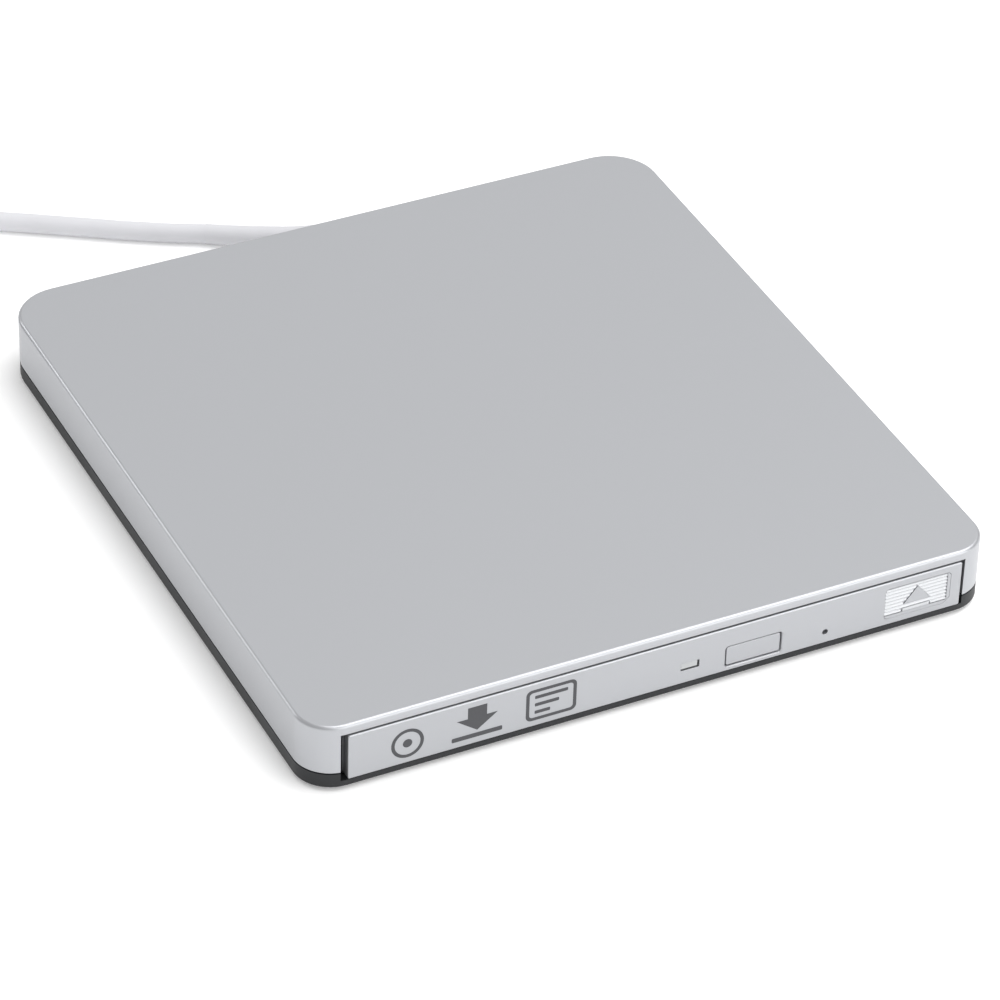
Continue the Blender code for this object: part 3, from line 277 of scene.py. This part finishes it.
def round_edges(shape, edges, width, segments):
    bmesh.ops.bevel(
        shape, geom=edges, offset=width * MM, segments=segments, profile=0.5, affect="EDGES"
    )


def upright_plate(low, high, corner, rim, corner_steps=6, rim_steps=3):
    """A plate that faces -Y, with round corners in the XZ plane and a soft front rim."""
    shape = box_shape(low, high)
    round_edges(shape, edges_along(shape, 1), corner, corner_steps)
    round_edges(shape, edges_at(shape, 1, low[1]), rim, rim_steps)
    return shape


def boolean(piece, operation, *tools):
    """Applies each tool's Boolean to the piece at once and removes the tools."""
    for tool in tools:
        modifier = piece.modifiers.new("boolean", "BOOLEAN")
        modifier.operation = operation
        modifier.object = tool
    bpy.context.view_layer.update()
    graph = bpy.context.evaluated_depsgraph_get()
    made = bpy.data.meshes.new_from_object(piece.evaluated_get(graph))
    piece.modifiers.clear()
    piece.data = made
    for tool in tools:
        bpy.data.objects.remove(tool)
    return piece


def tool_box(low, high, corner, steps=6):
    """A box with round edges along Y, to join or to cut with."""
    shape = box_shape(low, high)
    round_edges(shape, edges_along(shape, 1), corner, steps)
    return object_of("tool", mesh_of("tool", shape))


def tool_cylinder(centre, radius, depth, sides=32):
    """A round cutter along Y."""
    shape = bmesh.new()
    bmesh.ops.create_cone(
        shape, cap_ends=True, segments=sides, radius1=radius * MM, radius2=radius * MM,
        depth=depth * MM,
    )
    turn = Matrix.Rotation(math.pi / 2, 4, "X")
    bmesh.ops.transform(shape, matrix=turn, verts=shape.verts)
    bmesh.ops.translate(shape, vec=Vector(centre) * MM, verts=shape.verts)
    return object_of("tool", mesh_of("tool", shape))


# Materials ---------------------------------------------------------------------------------------------


class Shader:
    """A Principled material and short ways to wire procedural detail into it."""

    def __init__(self, name, colour, roughness, metallic=0.0, **constants):
        self.material = bpy.data.materials.new(name)
        self.material.use_nodes = True
        self.material.diffuse_color = (*colour, 1.0)
        self.tree = self.material.node_tree
        self.surface = self.tree.nodes["Principled BSDF"]
        self.colour = colour
        self.surface.inputs["Base Color"].default_value = (*colour, 1.0)
        self.surface.inputs["Roughness"].default_value = roughness
        self.surface.inputs["Metallic"].default_value = metallic
        for key, value in constants.items():
            self.surface.inputs[key.replace("_", " ")].default_value = value
        self.place = self.node("ShaderNodeTexCoord").outputs["Object"]
        self.bump_normal = None

    def node(self, kind, **settings):
        made = self.tree.nodes.new(kind)
        for key, value in settings.items():
            setattr(made, key, value)
        return made

    def link(self, output, socket):
        self.tree.links.new(output, socket)

    def stretched(self, scale):
        mapping = self.node("ShaderNodeMapping")
        mapping.inputs["Scale"].default_value = scale
        self.link(self.place, mapping.inputs["Vector"])
        return mapping.outputs["Vector"]

    def noise(self, scale, detail=2.0, vector=None):
        made = self.node("ShaderNodeTexNoise")
        made.inputs["Scale"].default_value = scale
        made.inputs["Detail"].default_value = detail
        self.link(vector or self.place, made.inputs["Vector"])
        return made.outputs["Fac"]

    def cells(self, scale):
        made = self.node("ShaderNodeTexVoronoi", feature="F1")
        made.inputs["Scale"].default_value = scale
        self.link(self.place, made.inputs["Vector"])
        return made.outputs["Distance"]

    def ranged(self, value, low, high, start=0.0, end=1.0):
        made = self.node("ShaderNodeMapRange")
        made.inputs["From Min"].default_value = start
        made.inputs["From Max"].default_value = end
        made.inputs["To Min"].default_value = low
        made.inputs["To Max"].default_value = high
        self.link(value, made.inputs["Value"])
        return made.outputs["Result"]

    def mixed(self, share, first, second):
        made = self.node("ShaderNodeMix", data_type="RGBA")
        self.link(share, made.inputs["Factor"])
        for index, value in zip(MIX_COLOURS, (first, second)):
            socket = made.inputs[index]
            if isinstance(value, tuple):
                socket.default_value = (*value, 1.0)
            else:
                self.link(value, socket)
        return made.outputs[MIX_RESULT]

    def tinted(self, share, amount):
        """The base colour, varied by amount of its own brightness."""
        darker = tuple(c * (1 - amount) for c in self.colour)
        lighter = tuple(min(1.0, c * (1 + amount)) for c in self.colour)
        return self.mixed(share, darker, lighter)

    def set_colour(self, output):
        self.link(output, self.surface.inputs["Base Color"])
        return self

    def set_roughness(self, value, low, high, start=0.3, end=0.7):
        self.link(self.ranged(value, low, high, start, end), self.surface.inputs["Roughness"])
        return self

    def bump(self, height, strength, distance):
        made = self.node("ShaderNodeBump")
        made.inputs["Strength"].default_value = strength
        made.inputs["Distance"].default_value = distance * MM
        self.link(height, made.inputs["Height"])
        if self.bump_normal is not None:
            self.link(self.bump_normal, made.inputs["Normal"])
        self.bump_normal = made.outputs["Normal"]
        self.link(self.bump_normal, self.surface.inputs["Normal"])
        return self


def silver_paint(name, colour, roughness):
    """Fine metallic paint: flakes a tenth of a millimetre wide under a faint orange peel."""
    made = Shader(name, colour, roughness, 0.72)
    flakes = made.noise(9000.0, 3.0)
    clouds = made.noise(18.0, 3.0)
    made.set_colour(made.mixed(made.ranged(flakes, 0.0, 1.0, 0.35, 0.65),
                               made.tinted(clouds, 0.012), made.tinted(flakes, 0.05)))
    made.set_roughness(flakes, roughness - 0.05, roughness + 0.06)
    made.bump(made.noise(900.0, 2.0), 0.08, 0.02)
    made.bump(flakes, 0.10, 0.006)
    return made.material


def moulded_plastic(name, colour, roughness, grain=2600.0, depth=0.02, strength=0.25, shine=0.5):
    """Moulded plastic with a spark-eroded grain."""
    made = Shader(name, colour, roughness, Specular_IOR_Level=shine)
    pits = made.cells(grain)
    clouds = made.noise(60.0, 3.0)
    made.set_colour(made.tinted(clouds, 0.10))
    made.set_roughness(clouds, roughness - 0.05, roughness + 0.07)
    made.bump(pits, strength, depth)
    return made.material


def rubber(name, colour):
    made = Shader(name, colour, 0.85)
    dust = made.noise(1500.0, 4.0)
    made.set_colour(made.tinted(dust, 0.3))
    made.set_roughness(dust, 0.78, 0.95)
    made.bump(dust, 0.3, 0.03)
    return made.material


def rolled_steel(name, colour, roughness, stretch=(40.0, 2200.0, 2200.0)):
    """Pressed sheet steel with a fine rolling grain along X."""
    made = Shader(name, colour, roughness, 1.0)
    grain = made.noise(1.0, 3.0, made.stretched(stretch))
    stains = made.noise(35.0, 4.0)
    made.set_colour(made.mixed(stains, tuple(c * 0.86 for c in colour), colour))
    made.set_roughness(grain, roughness - 0.08, roughness + 0.12)
    made.bump(grain, 0.15, 0.008)
    return made.material


def circuit_board(name, mask, trace):
    """Solder mask over traces on a grid, with small tinned vias."""
    made = Shader(name, mask, 0.38)
    brick = made.node("ShaderNodeTexBrick", offset=0.37)
    brick.inputs["Scale"].default_value = 1.0
    brick.inputs["Mortar Size"].default_value = 0.00022
    brick.inputs["Mortar Smooth"].default_value = 0.3
    brick.inputs["Brick Width"].default_value = 0.0061
    brick.inputs["Row Height"].default_value = 0.0013
    made.link(made.place, brick.inputs["Vector"])
    lines = made.mixed(brick.outputs["Fac"], mask, trace)
    vias = made.ranged(made.cells(420.0), 1.0, 0.0, 0.10, 0.16)
    made.set_colour(made.mixed(vias, lines, (0.62, 0.60, 0.52)))
    made.bump(brick.outputs["Fac"], 0.4, 0.03)
    made.bump(vias, 0.4, 0.03)
    return made.material


def film_cable(name, film, conductor):
    """Amber film over parallel conductors that run along Y."""
    made = Shader(name, film, 0.35)
    wave = made.node("ShaderNodeTexWave", bands_direction="X")
    wave.inputs["Scale"].default_value = 320.0
    made.link(made.place, wave.inputs["Vector"])
    made.set_colour(made.mixed(made.ranged(wave.outputs["Fac"], 0.0, 1.0, 0.4, 0.6), film, conductor))
    made.bump(wave.outputs["Fac"], 0.3, 0.02)
    return made.material


def coated_lens(name):
    made = Shader(name, (0.10, 0.07, 0.22), 0.04, 0.0, Coat_Weight=1.0, Coat_Roughness=0.02)
    made.set_colour(made.mixed(made.noise(300.0, 1.0), (0.08, 0.06, 0.20), (0.14, 0.09, 0.26)))
    return made.material


def flat_ink(name, colour):
    made = Shader(name, colour, 0.5)
    made.set_colour(made.tinted(made.noise(4000.0, 2.0), 0.08))
    return made.material


COVER = (silver_paint("silver_paint", (0.425, 0.433, 0.452), 0.36), "silver_paint")
BEZEL = (silver_paint("bezel_paint", (0.405, 0.412, 0.430), 0.36), "bezel_paint")
# The ribs' bezel paint made lighter: a painted highlight along the ribs and the bar
RIB_PAINT_HIGHLIGHT = (silver_paint("rib_paint_with_painted_highlight", (0.54, 0.55, 0.565), 0.32), "bezel_paint")
BLACK = (moulded_plastic("black_plastic", (0.014, 0.015, 0.017), 0.50, shine=0.36), "black_plastic")
TRAY = (moulded_plastic("tray_plastic", (0.020, 0.020, 0.022), 0.42, 3500.0, 0.01), "tray_plastic")
RUBBER = (rubber("rubber", (0.022, 0.022, 0.022)), "rubber")
STEEL = (rolled_steel("steel", (0.58, 0.59, 0.60), 0.34), "steel")
DARK_STEEL = (rolled_steel("dark_steel", (0.17, 0.17, 0.18), 0.40), "dark_steel")
FILM = (film_cable("copper_foil", (0.50, 0.27, 0.05), (0.62, 0.38, 0.12)), "copper_foil")
BOARD = (circuit_board("green_board", (0.010, 0.085, 0.030), (0.030, 0.19, 0.07)), "green_board")
CHIP = (moulded_plastic("chip_plastic", (0.014, 0.014, 0.015), 0.62, 5000.0, 0.01), "chip_plastic")
WINDOW = (moulded_plastic("clear_plastic", (0.40, 0.41, 0.415), 0.30, 900.0, 0.01), "clear_plastic")
LENS = (coated_lens("lens_glass"), "lens_glass")
NYLON = (moulded_plastic("nylon", (0.70, 0.69, 0.64), 0.48, 2000.0, 0.01), "nylon")
JACKET = (moulded_plastic("cable_jacket", (0.60, 0.60, 0.625), 0.46, 3200.0, 0.008), "cable_jacket")
INK = flat_ink("grey_ink", (0.045, 0.046, 0.051))


# Bezel, its light, buttons and printed signs -----------------------------------------------------------


def lofted(name, rings):
    """A closed shape through equal loops in XZ planes, given as (loop, y) from front to back."""
    shape = bmesh.new()
    rows = [[shape.verts.new((x * MM, y * MM, z * MM)) for x, z in loop] for loop, y in rings]
    for first, second in zip(rows, rows[1:]):
        for i, vert in enumerate(first):
            shape.faces.new((first[i - 1], vert, second[i], second[i - 1]))
    shape.faces.new(rows[0])
    shape.faces.new(rows[-1])
    bmesh.ops.triangulate(shape, faces=shape.faces)
    bmesh.ops.recalc_face_normals(shape, faces=shape.faces)
    return object_of(name, mesh_of(name, shape))


def flared_tool(low, high, corner, front, flare):
    """A cutter for a hole that faces -Y; from front on, its edge flares at 45 degrees."""
    def loop(grow):
        return tile_loop((low[0] - grow, low[1] - grow), (high[0] + grow, high[1] + grow), corner + grow)

    rings = [(loop(2 * flare), front - flare), (loop(0.0), front + flare), (loop(0.0), front + HOLE_DEPTH)]
    return lofted("tool", rings)


def node_face(node, margin=0.0):
    """A node's lowest and highest X and Z, grown by a margin."""
    low, high = corners(node)
    return (low.x - margin, low.z - margin), (high.x + margin, high.z + margin)


def make_bezel():
    low, high = corners("bezel")
    front = low.y + FRONT_SET_BACK
    shape = box_shape((low.x, front, low.z), high)
    round_edges(shape, edges_along(shape, 1), BEZEL_CORNER, 4)
    round_edges(shape, edges_at(shape, 1, front), BEZEL_RIM, 4)
    bezel = object_of("bezel_fine", mesh_of("bezel_fine", shape))
    slot_low, slot_high = node_face("led_window", LIGHT_SLOT_MARGIN)
    before, behind = front - CUTTER_LEAD, front + HOLE_DEPTH
    button_hole = node_face("eject_button", BUTTON_HOLE_MARGIN)
    tools = [
        flared_tool(*button_hole, BUTTON_HOLE_CORNER, front, BUTTON_HOLE_FLARE),
        outline_tool("key_hole", key_outline(KEY_GAP), before, HOLE_DEPTH),
        tool_box(
            (slot_low[0], before, slot_low[1]), (slot_high[0], behind, slot_high[1]),
            LIGHT_SLOT_CORNER, steps=3,
        ),
        tool_cylinder((PINHOLE_PLACE[0], front, PINHOLE_PLACE[1]), PINHOLE_RADIUS, 2 * HOLE_DEPTH),
    ]
    boolean(bezel, "DIFFERENCE", *tools)
    soften(bezel, 0.05, 2, 50.0)
    belongs(bezel, *BEZEL, "tray", "bezel")


def make_led():
    """The light's window fills the upper left of its slot and leaves a dark gap below and beside it; a
    black block behind the gap below it is painted shade.
    """
    (left, bottom), (right, top) = node_face("led_window", LIGHT_SLOT_MARGIN)
    front = corners("bezel")[0].y + FRONT_SET_BACK
    back = corners("led_window")[1].y
    shape = upright_plate(
        (left, front, bottom + LIGHT_GAP), (right - LIGHT_GAP, back, top), LIGHT_CORNER, LIGHT_RIM
    )
    led = object_of("led_window_fine", mesh_of("led_window_fine", shape))
    soften(led, 0.0)
    belongs(led, *WINDOW, "tray", "led_window")
    # A black block at the back of the gap below the window: painted shade that darkens the gap
    shade_block_top = bottom + LIGHT_SHADE_BLOCK_HEIGHT
    shape = box_shape((left, front + LIGHT_SHADE_BLOCK_DEPTH, bottom), (right, back, shade_block_top))
    pocket = object_of("led_shade_block", mesh_of("led_shade_block", shape))
    soften(pocket, 0.05)
    belongs(pocket, *BLACK, "tray")


def stem_tool(place, back):
    """The stem behind a button's plate, which starts inside the plate."""
    (left, bottom), (right, top) = place
    return tool_box((left, PLATE_BACK - STEM_OVERLAP, bottom), (right, back, top), STEM_CORNER)


def make_button():
    low, high = corners("eject_button")
    shape = upright_plate(
        (low.x + BUTTON_SHORTER_BY, low.y, low.z), (high.x, PLATE_BACK, high.z - BUTTON_SHORTER_BY),
        BUTTON_CORNER, BUTTON_RIM,
    )
    button = object_of("eject_button_fine", mesh_of("eject_button_fine", shape))
    boolean(button, "UNION", stem_tool(BUTTON_STEM, high.y))
    soften(button, 0.0)
    belongs(button, *BEZEL, "eject_button", "eject_button")


def flat_shape(name, outline, y, thickness):
    """A flat outline in the XZ plane at depth y, from a filled curve; outline is a list of closed loops."""
    data = bpy.data.curves.new(name, "CURVE")
    data.dimensions = "2D"
    data.fill_mode = "BOTH"
    data.extrude = thickness / 2 * MM
    for loop in outline:
        spline = data.splines.new("POLY")
        spline.points.add(len(loop) - 1)
        for point, (x, z) in zip(spline.points, loop):
            point.co = (x * MM, z * MM, 0.0, 1.0)
        spline.use_cyclic_u = True
    curve = object_of(name, data)
    bpy.context.view_layer.update()
    mesh = bpy.data.meshes.new_from_object(curve.evaluated_get(bpy.context.evaluated_depsgraph_get()))
    bpy.data.objects.remove(curve)
    shape = bmesh.new()
    shape.from_mesh(mesh)
    bmesh.ops.remove_doubles(shape, verts=shape.verts, dist=1e-7)
    bmesh.ops.transform(shape, matrix=Matrix.Rotation(math.pi / 2, 4, "X"), verts=shape.verts)
    bmesh.ops.translate(shape, vec=Vector((0.0, (y + thickness / 2) * MM, 0.0)), verts=shape.verts)
    bmesh.ops.recalc_face_normals(shape, faces=shape.faces)
    return mesh_of(name, shape)


def round_loop(x, z, radius, count=48):
    turn = 2 * math.pi / count
    return [(x + radius * math.cos(i * turn), z + radius * math.sin(i * turn)) for i in range(count)]


def tile_loop(low, high, radius, count=6):
    """A rectangle with round corners, as one closed loop."""
    loop = []
    centres = ((high[0] - radius, high[1] - radius), (low[0] + radius, high[1] - radius),
               (low[0] + radius, low[1] + radius), (high[0] - radius, low[1] + radius))
    for k, (x, z) in enumerate(centres):
        for i in range(count + 1):
            angle = math.pi / 2 * (k + i / count)
            loop.append((x + radius * math.cos(angle), z + radius * math.sin(angle)))
    return loop


def outline_tool(name, loop, y, depth):
    return object_of(name, flat_shape(name, [loop], y, depth))


def key_outline(grow, steps=6):
    """The ribbed key's outline: round corners, the lower right one cut off."""
    left, bottom = KEY_LOW[0] - grow, KEY_LOW[1] - grow
    right, top = KEY_HIGH[0] + grow, KEY_HIGH[1] + grow
    centres = (
        (right - KEY_CORNER, top - KEY_CORNER), (left + KEY_CORNER, top - KEY_CORNER),
        (left + KEY_CORNER, bottom + KEY_CORNER),
    )
    loop = []
    for k, (x, z) in enumerate(centres):
        for i in range(steps + 1):
            angle = math.pi / 2 * (k + i / steps)
            loop.append((x + KEY_CORNER * math.cos(angle), z + KEY_CORNER * math.sin(angle)))
    loop += [(right - KEY_CUT_CORNER, bottom), (right, bottom + KEY_CUT_CORNER)]
    return loop


def rib_bar(z, face):
    """A rib along X: its upper side slopes out to the face, its lower side steps back to the root."""
    shape = bmesh.new()
    ends = [
        [shape.verts.new((x * MM, (face + depth) * MM, (z + height) * MM)) for depth, height in RIB_PROFILE]
        for x in RIB_X
    ]
    for i in range(len(RIB_PROFILE)):
        shape.faces.new((ends[0][i - 1], ends[0][i], ends[1][i], ends[1][i - 1]))
    shape.faces.new(ends[0])
    shape.faces.new(ends[1])
    bmesh.ops.recalc_face_normals(shape, faces=shape.faces)
    return object_of("rib", mesh_of("rib", shape))


def make_key():
    """The ribbed key: ribs from side to side in a pocket, with a flat triangle and bar clear among them."""
    face = corners("bezel")[0].y + KEY_SET_BACK
    before = face - CUTTER_LEAD
    key = outline_tool("eject_key_fine", key_outline(0.0), face, PLATE_BACK - face)
    pocket = tile_loop(*KEY_POCKET, POCKET_CORNER)
    boolean(key, "DIFFERENCE", outline_tool("pocket", pocket, before, CUTTER_LEAD + RIB_DEPTH))
    boolean(key, "UNION", outline_tool("sign", TRIANGLE, face, TRIANGLE_DEPTH))
    boolean(key, "UNION", stem_tool(KEY_STEM, corners("eject_key")[1].y))
    soften(key, 0.0)
    belongs(key, *BEZEL, "eject_key", "eject_key")
    ribs = join_meshes("ribs", [rib_bar(RIB_START + i * RIB_PITCH, face) for i in range(RIB_COUNT)])
    for loop in (key_outline(-RIB_END_GAP), tile_loop(*RIB_ENDS, POCKET_CORNER)):
        boolean(ribs, "INTERSECT", outline_tool("rib_ends", loop, before, RIB_END_DEPTH))
    clear_depth = CUTTER_LEAD + SIGN_CLEAR_DEPTH
    for loop in (TRIANGLE, BAR):
        boolean(ribs, "DIFFERENCE", outline_tool("clear", grown_loop(loop), before, clear_depth))
    boolean(ribs, "UNION", outline_tool("sign", BAR, face + BAR_SET_BACK, BAR_DEPTH))
    soften(ribs, 0.0)
    # The ribs and the bar take the lighter copy of the bezel paint, which is a painted highlight
    belongs(ribs, *RIB_PAINT_HIGHLIGHT, "eject_key")


def grown_loop(loop):
    """A convex loop moved outwards from its middle, to keep the ribs clear of it."""
    middle = Vector((sum(p[0] for p in loop), sum(p[1] for p in loop))) / len(loop)
    return [tuple(Vector(p) + (Vector(p) - middle).normalized() * SIGN_CLEARANCE) for p in loop]


def join_meshes(name, pieces):
    shape = bmesh.new()
    for piece in pieces:
        shape.from_mesh(piece.data)
        bpy.data.objects.remove(piece)
    return object_of(name, mesh_of(name, shape))


def make_signs():
    """Three plain printed signs: a ring with a dot, an arrow onto a tray, and lines in a frame."""
    front = corners("bezel")[0].y
    signs = (
        [round_loop(*RING_CENTRE, radius) for radius in RING_RADII],
        [ARROW],
        [tile_loop(*TRAY_LINE)],
        [tile_loop(*outline) for outline in LABEL_FRAME],
        *[[tile_loop(*line)] for line in LABEL_LINES],
    )
    for i, loops in enumerate(signs):
        name = f"printed_sign_{i + 1}"
        sign = object_of(name, flat_shape(name, loops, front, INK_THICKNESS))
        sign.data.materials.append(INK)
        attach(sign, "tray")


# Cable -------------------------------------------------------------------------------------------------


def smooth_route(points, spacing):
    """Points about spacing apart on a Catmull-Rom curve through the route's own points."""
    knots = [Vector(p) for p in points]
    knots = [2 * knots[0] - knots[1], *knots, 2 * knots[-1] - knots[-2]]
    fine = []
    for a, b, c, d in zip(knots, knots[1:], knots[2:], knots[3:]):
        steps = max(1, round((c - b).length / spacing))
        for step in range(steps):
            t = step / steps
            fine.append(
                0.5 * (2 * b + (c - a) * t + (2 * a - 5 * b + 4 * c - d) * t**2
                       + (3 * b - a - 3 * c + d) * t**3)
            )
    fine.append(knots[-2])
    return fine


def coil_point(turns):
    """The cable's centre after so many turns: an outer lane, an inner lane, then on top of both."""
    first_change = smoothstep((turns - 1 + LANE_CHANGE) / LANE_CHANGE)
    second_change = smoothstep((turns - 2 + LANE_CHANGE) / LANE_CHANGE)
    radius = OUTER_LANE + (INNER_LANE - OUTER_LANE) * first_change
    radius += (TOP_LANE - INNER_LANE) * second_change
    height = LOW_LAYER + (HIGH_LAYER - LOW_LAYER) * smoothstep((turns - LIFT_START) / LIFT_TURNS)
    angle = math.radians(COIL_START_ANGLE) + 2 * math.pi * turns
    x, y = COIL_CENTRE
    return (x + radius * math.cos(angle), y + radius * math.sin(angle), height)


def route_length(points):
    return sum((b - a).length for a, b in zip(points, points[1:]))


def tube(name, points, radii, resolution=6):
    data = bpy.data.curves.new(name, "CURVE")
    data.dimensions = "3D"
    data.bevel_depth = MM
    data.bevel_resolution = resolution
    data.use_fill_caps = True
    spline = data.splines.new("POLY")
    spline.points.add(len(points) - 1)
    spline.use_smooth = True
    for point, place, radius in zip(spline.points, points, radii):
        point.co = (*(Vector(place) * MM), 1.0)
        point.radius = radius
    return object_of(name, data)


def make_cable(with_pieces):
    count = int(COIL_TURNS * COIL_POINTS_PER_TURN)
    coil = [coil_point(COIL_TURNS * i / count) for i in range(count + 1)]
    points = smooth_route([*RELIEF_ROUTE, *CABLE_ROUTE[1:], *coil, *TAIL_ROUTE], CABLE_POINT_SPACING)
    cable = tube("cable_fine", points, [CABLE_RADIUS] * len(points))
    belongs(cable, *JACKET, "case", "cable", "cable_coil", "cable_tail")


def make_strain_relief():
    """The cable's thicker start: full at the case, then a smooth taper to the cable."""
    points = smooth_route(RELIEF_ROUTE, RELIEF_POINT_SPACING)
    length = route_length(points)
    base, tip = RELIEF_RADII
    radii = [
        base + (tip - base) * smoothstep(route_length(points[: i + 1]) / length)
        for i in range(len(points))
    ]
    relief = tube("strain_relief_fine", points, radii, 5)
    return belongs(relief, *JACKET, "case", "strain_relief")


def make_plug():
    grip = refined("plug_grip", JACKET, 0.5, 3)
    shell = refined("plug_shell", STEEL, 0.12)
    tongue = refined("plug_tongue", NYLON, 0.15)
    return [grip, shell, tongue]


# What the drive carries over from the CAD --------------------------------------------------------------


def make_carried_pieces():
    refined("top_cover", COVER, 0.22, 3)
    refined("bottom_cover", BLACK, 0.18, 3)
    for i in range(1, 5):
        refined(f"foot_{i}", RUBBER, 0.12)
        refined(f"case_screw_{i}", STEEL, 0.08)
    for i in range(1, 3):
        refined(f"board_screw_{i}", STEEL, 0.08)
        refined(f"guide_rod_{i}", STEEL, 0.1)
    for i in range(1, 4):
        refined(f"damper_{i}", RUBBER, 0.2)
    for side in ("left", "right"):
        refined(f"rail_guide_{side}", NYLON, 0.12)
        refined(f"rail_{side}", STEEL, 0.12)
    for node in ("cage_base", "cage_lid", "tray_shield", "latch_pin", "crystal", "tact_switch",
                 "spindle_motor", "feed_motor", "lead_screw"):
        refined(node, STEEL, 0.08)
    for node in ("solenoid", "traverse_plate", "pickup_sled"):
        refined(node, DARK_STEEL, 0.10)
    for node in ("drive_connector", "sata_connector", "capacitor", "cable_grommet"):
        refined(node, BLACK, 0.15)
    for node in ("bridge_board", "main_board"):
        refined(node, BOARD, 0.05)
    for node in ("bridge_chip", "main_chip"):
        refined(node, CHIP, 0.1)
    for node in ("cable_header", "latch_lever"):
        refined(node, NYLON, 0.15)
    refined("tray", TRAY, 0.18, 3)
    refined("turntable", TRAY, 0.12, 3)
    refined("flex_ribbon", FILM, 0.0)
    refined("cable_core", JACKET, 0.1)
    refined("lens", LENS, 0.2, 3)


# Stage -------------------------------------------------------------------------------------------------


def make_camera():
    azimuth, elevation, roll = (math.radians(a) for a in (CAMERA_AZIMUTH, CAMERA_ELEVATION, CAMERA_ROLL))
    back = Vector((math.sin(azimuth) * math.cos(elevation), -math.cos(azimuth) * math.cos(elevation),
                   math.sin(elevation)))
    right = Vector((0, 0, 1)).cross(back).normalized()
    up = back.cross(right)
    aim = Vector(CAMERA_AIM) + right * CAMERA_AIM_RIGHT + up * CAMERA_AIM_UP
    across = right * math.cos(roll) + up * math.sin(roll)
    upward = up * math.cos(roll) - right * math.sin(roll)
    data = bpy.data.cameras.new("camera")
    data.sensor_width = 36.0
    data.lens = CAMERA_LENS
    data.clip_start = 0.05
    data.clip_end = 20.0
    camera = object_of("camera", data)
    camera.matrix_world = Matrix.Translation((aim + back * CAMERA_DISTANCE) * MM) @ Matrix(
        (across, upward, back)
    ).transposed().to_4x4()
    bpy.context.scene.camera = camera


def area_light(name, direction, distance, size, power):
    data = bpy.data.lights.new(name, "AREA")
    data.shape = "RECTANGLE"
    data.size, data.size_y = size
    data.energy = power
    lamp = object_of(name, data)
    towards = Vector(direction).normalized()
    lamp.location = towards * distance
    lamp.rotation_euler = towards.to_track_quat("Z", "Y").to_euler()


def make_stage():
    shape = bmesh.new()
    bmesh.ops.create_grid(shape, x_segments=1, y_segments=1, size=FLOOR_HALF_SIZE)
    floor = object_of("floor", mesh_of("floor", shape))
    floor.location.z = -FLOOR_DROP
    paper = Shader("floor_paper", (0.90, 0.90, 0.90), 0.9, Emission_Strength=FLOOR_GLOW)
    paper.surface.inputs["Emission Color"].default_value = (1.0, 1.0, 1.0, 1.0)
    floor.data.materials.append(paper.material)
    world = bpy.data.worlds.new("studio")
    world.use_nodes = True
    sky = world.node_tree.nodes["Background"]
    sky.inputs["Color"].default_value = (1.0, 1.0, 1.0, 1.0)
    sky.inputs["Strength"].default_value = SKY_STRENGTH
    bpy.context.scene.world = world
    for light in LIGHTS:
        area_light(*light)
    bpy.context.scene.view_settings.view_transform = "Standard"


make_camera()
plug_pieces = make_plug()
make_cable([make_strain_relief(), refined("cable_tie", BLACK, 0.35, 3), *plug_pieces])
make_bezel()
make_led()
make_button()
make_key()
make_signs()
make_carried_pieces()
make_stage()
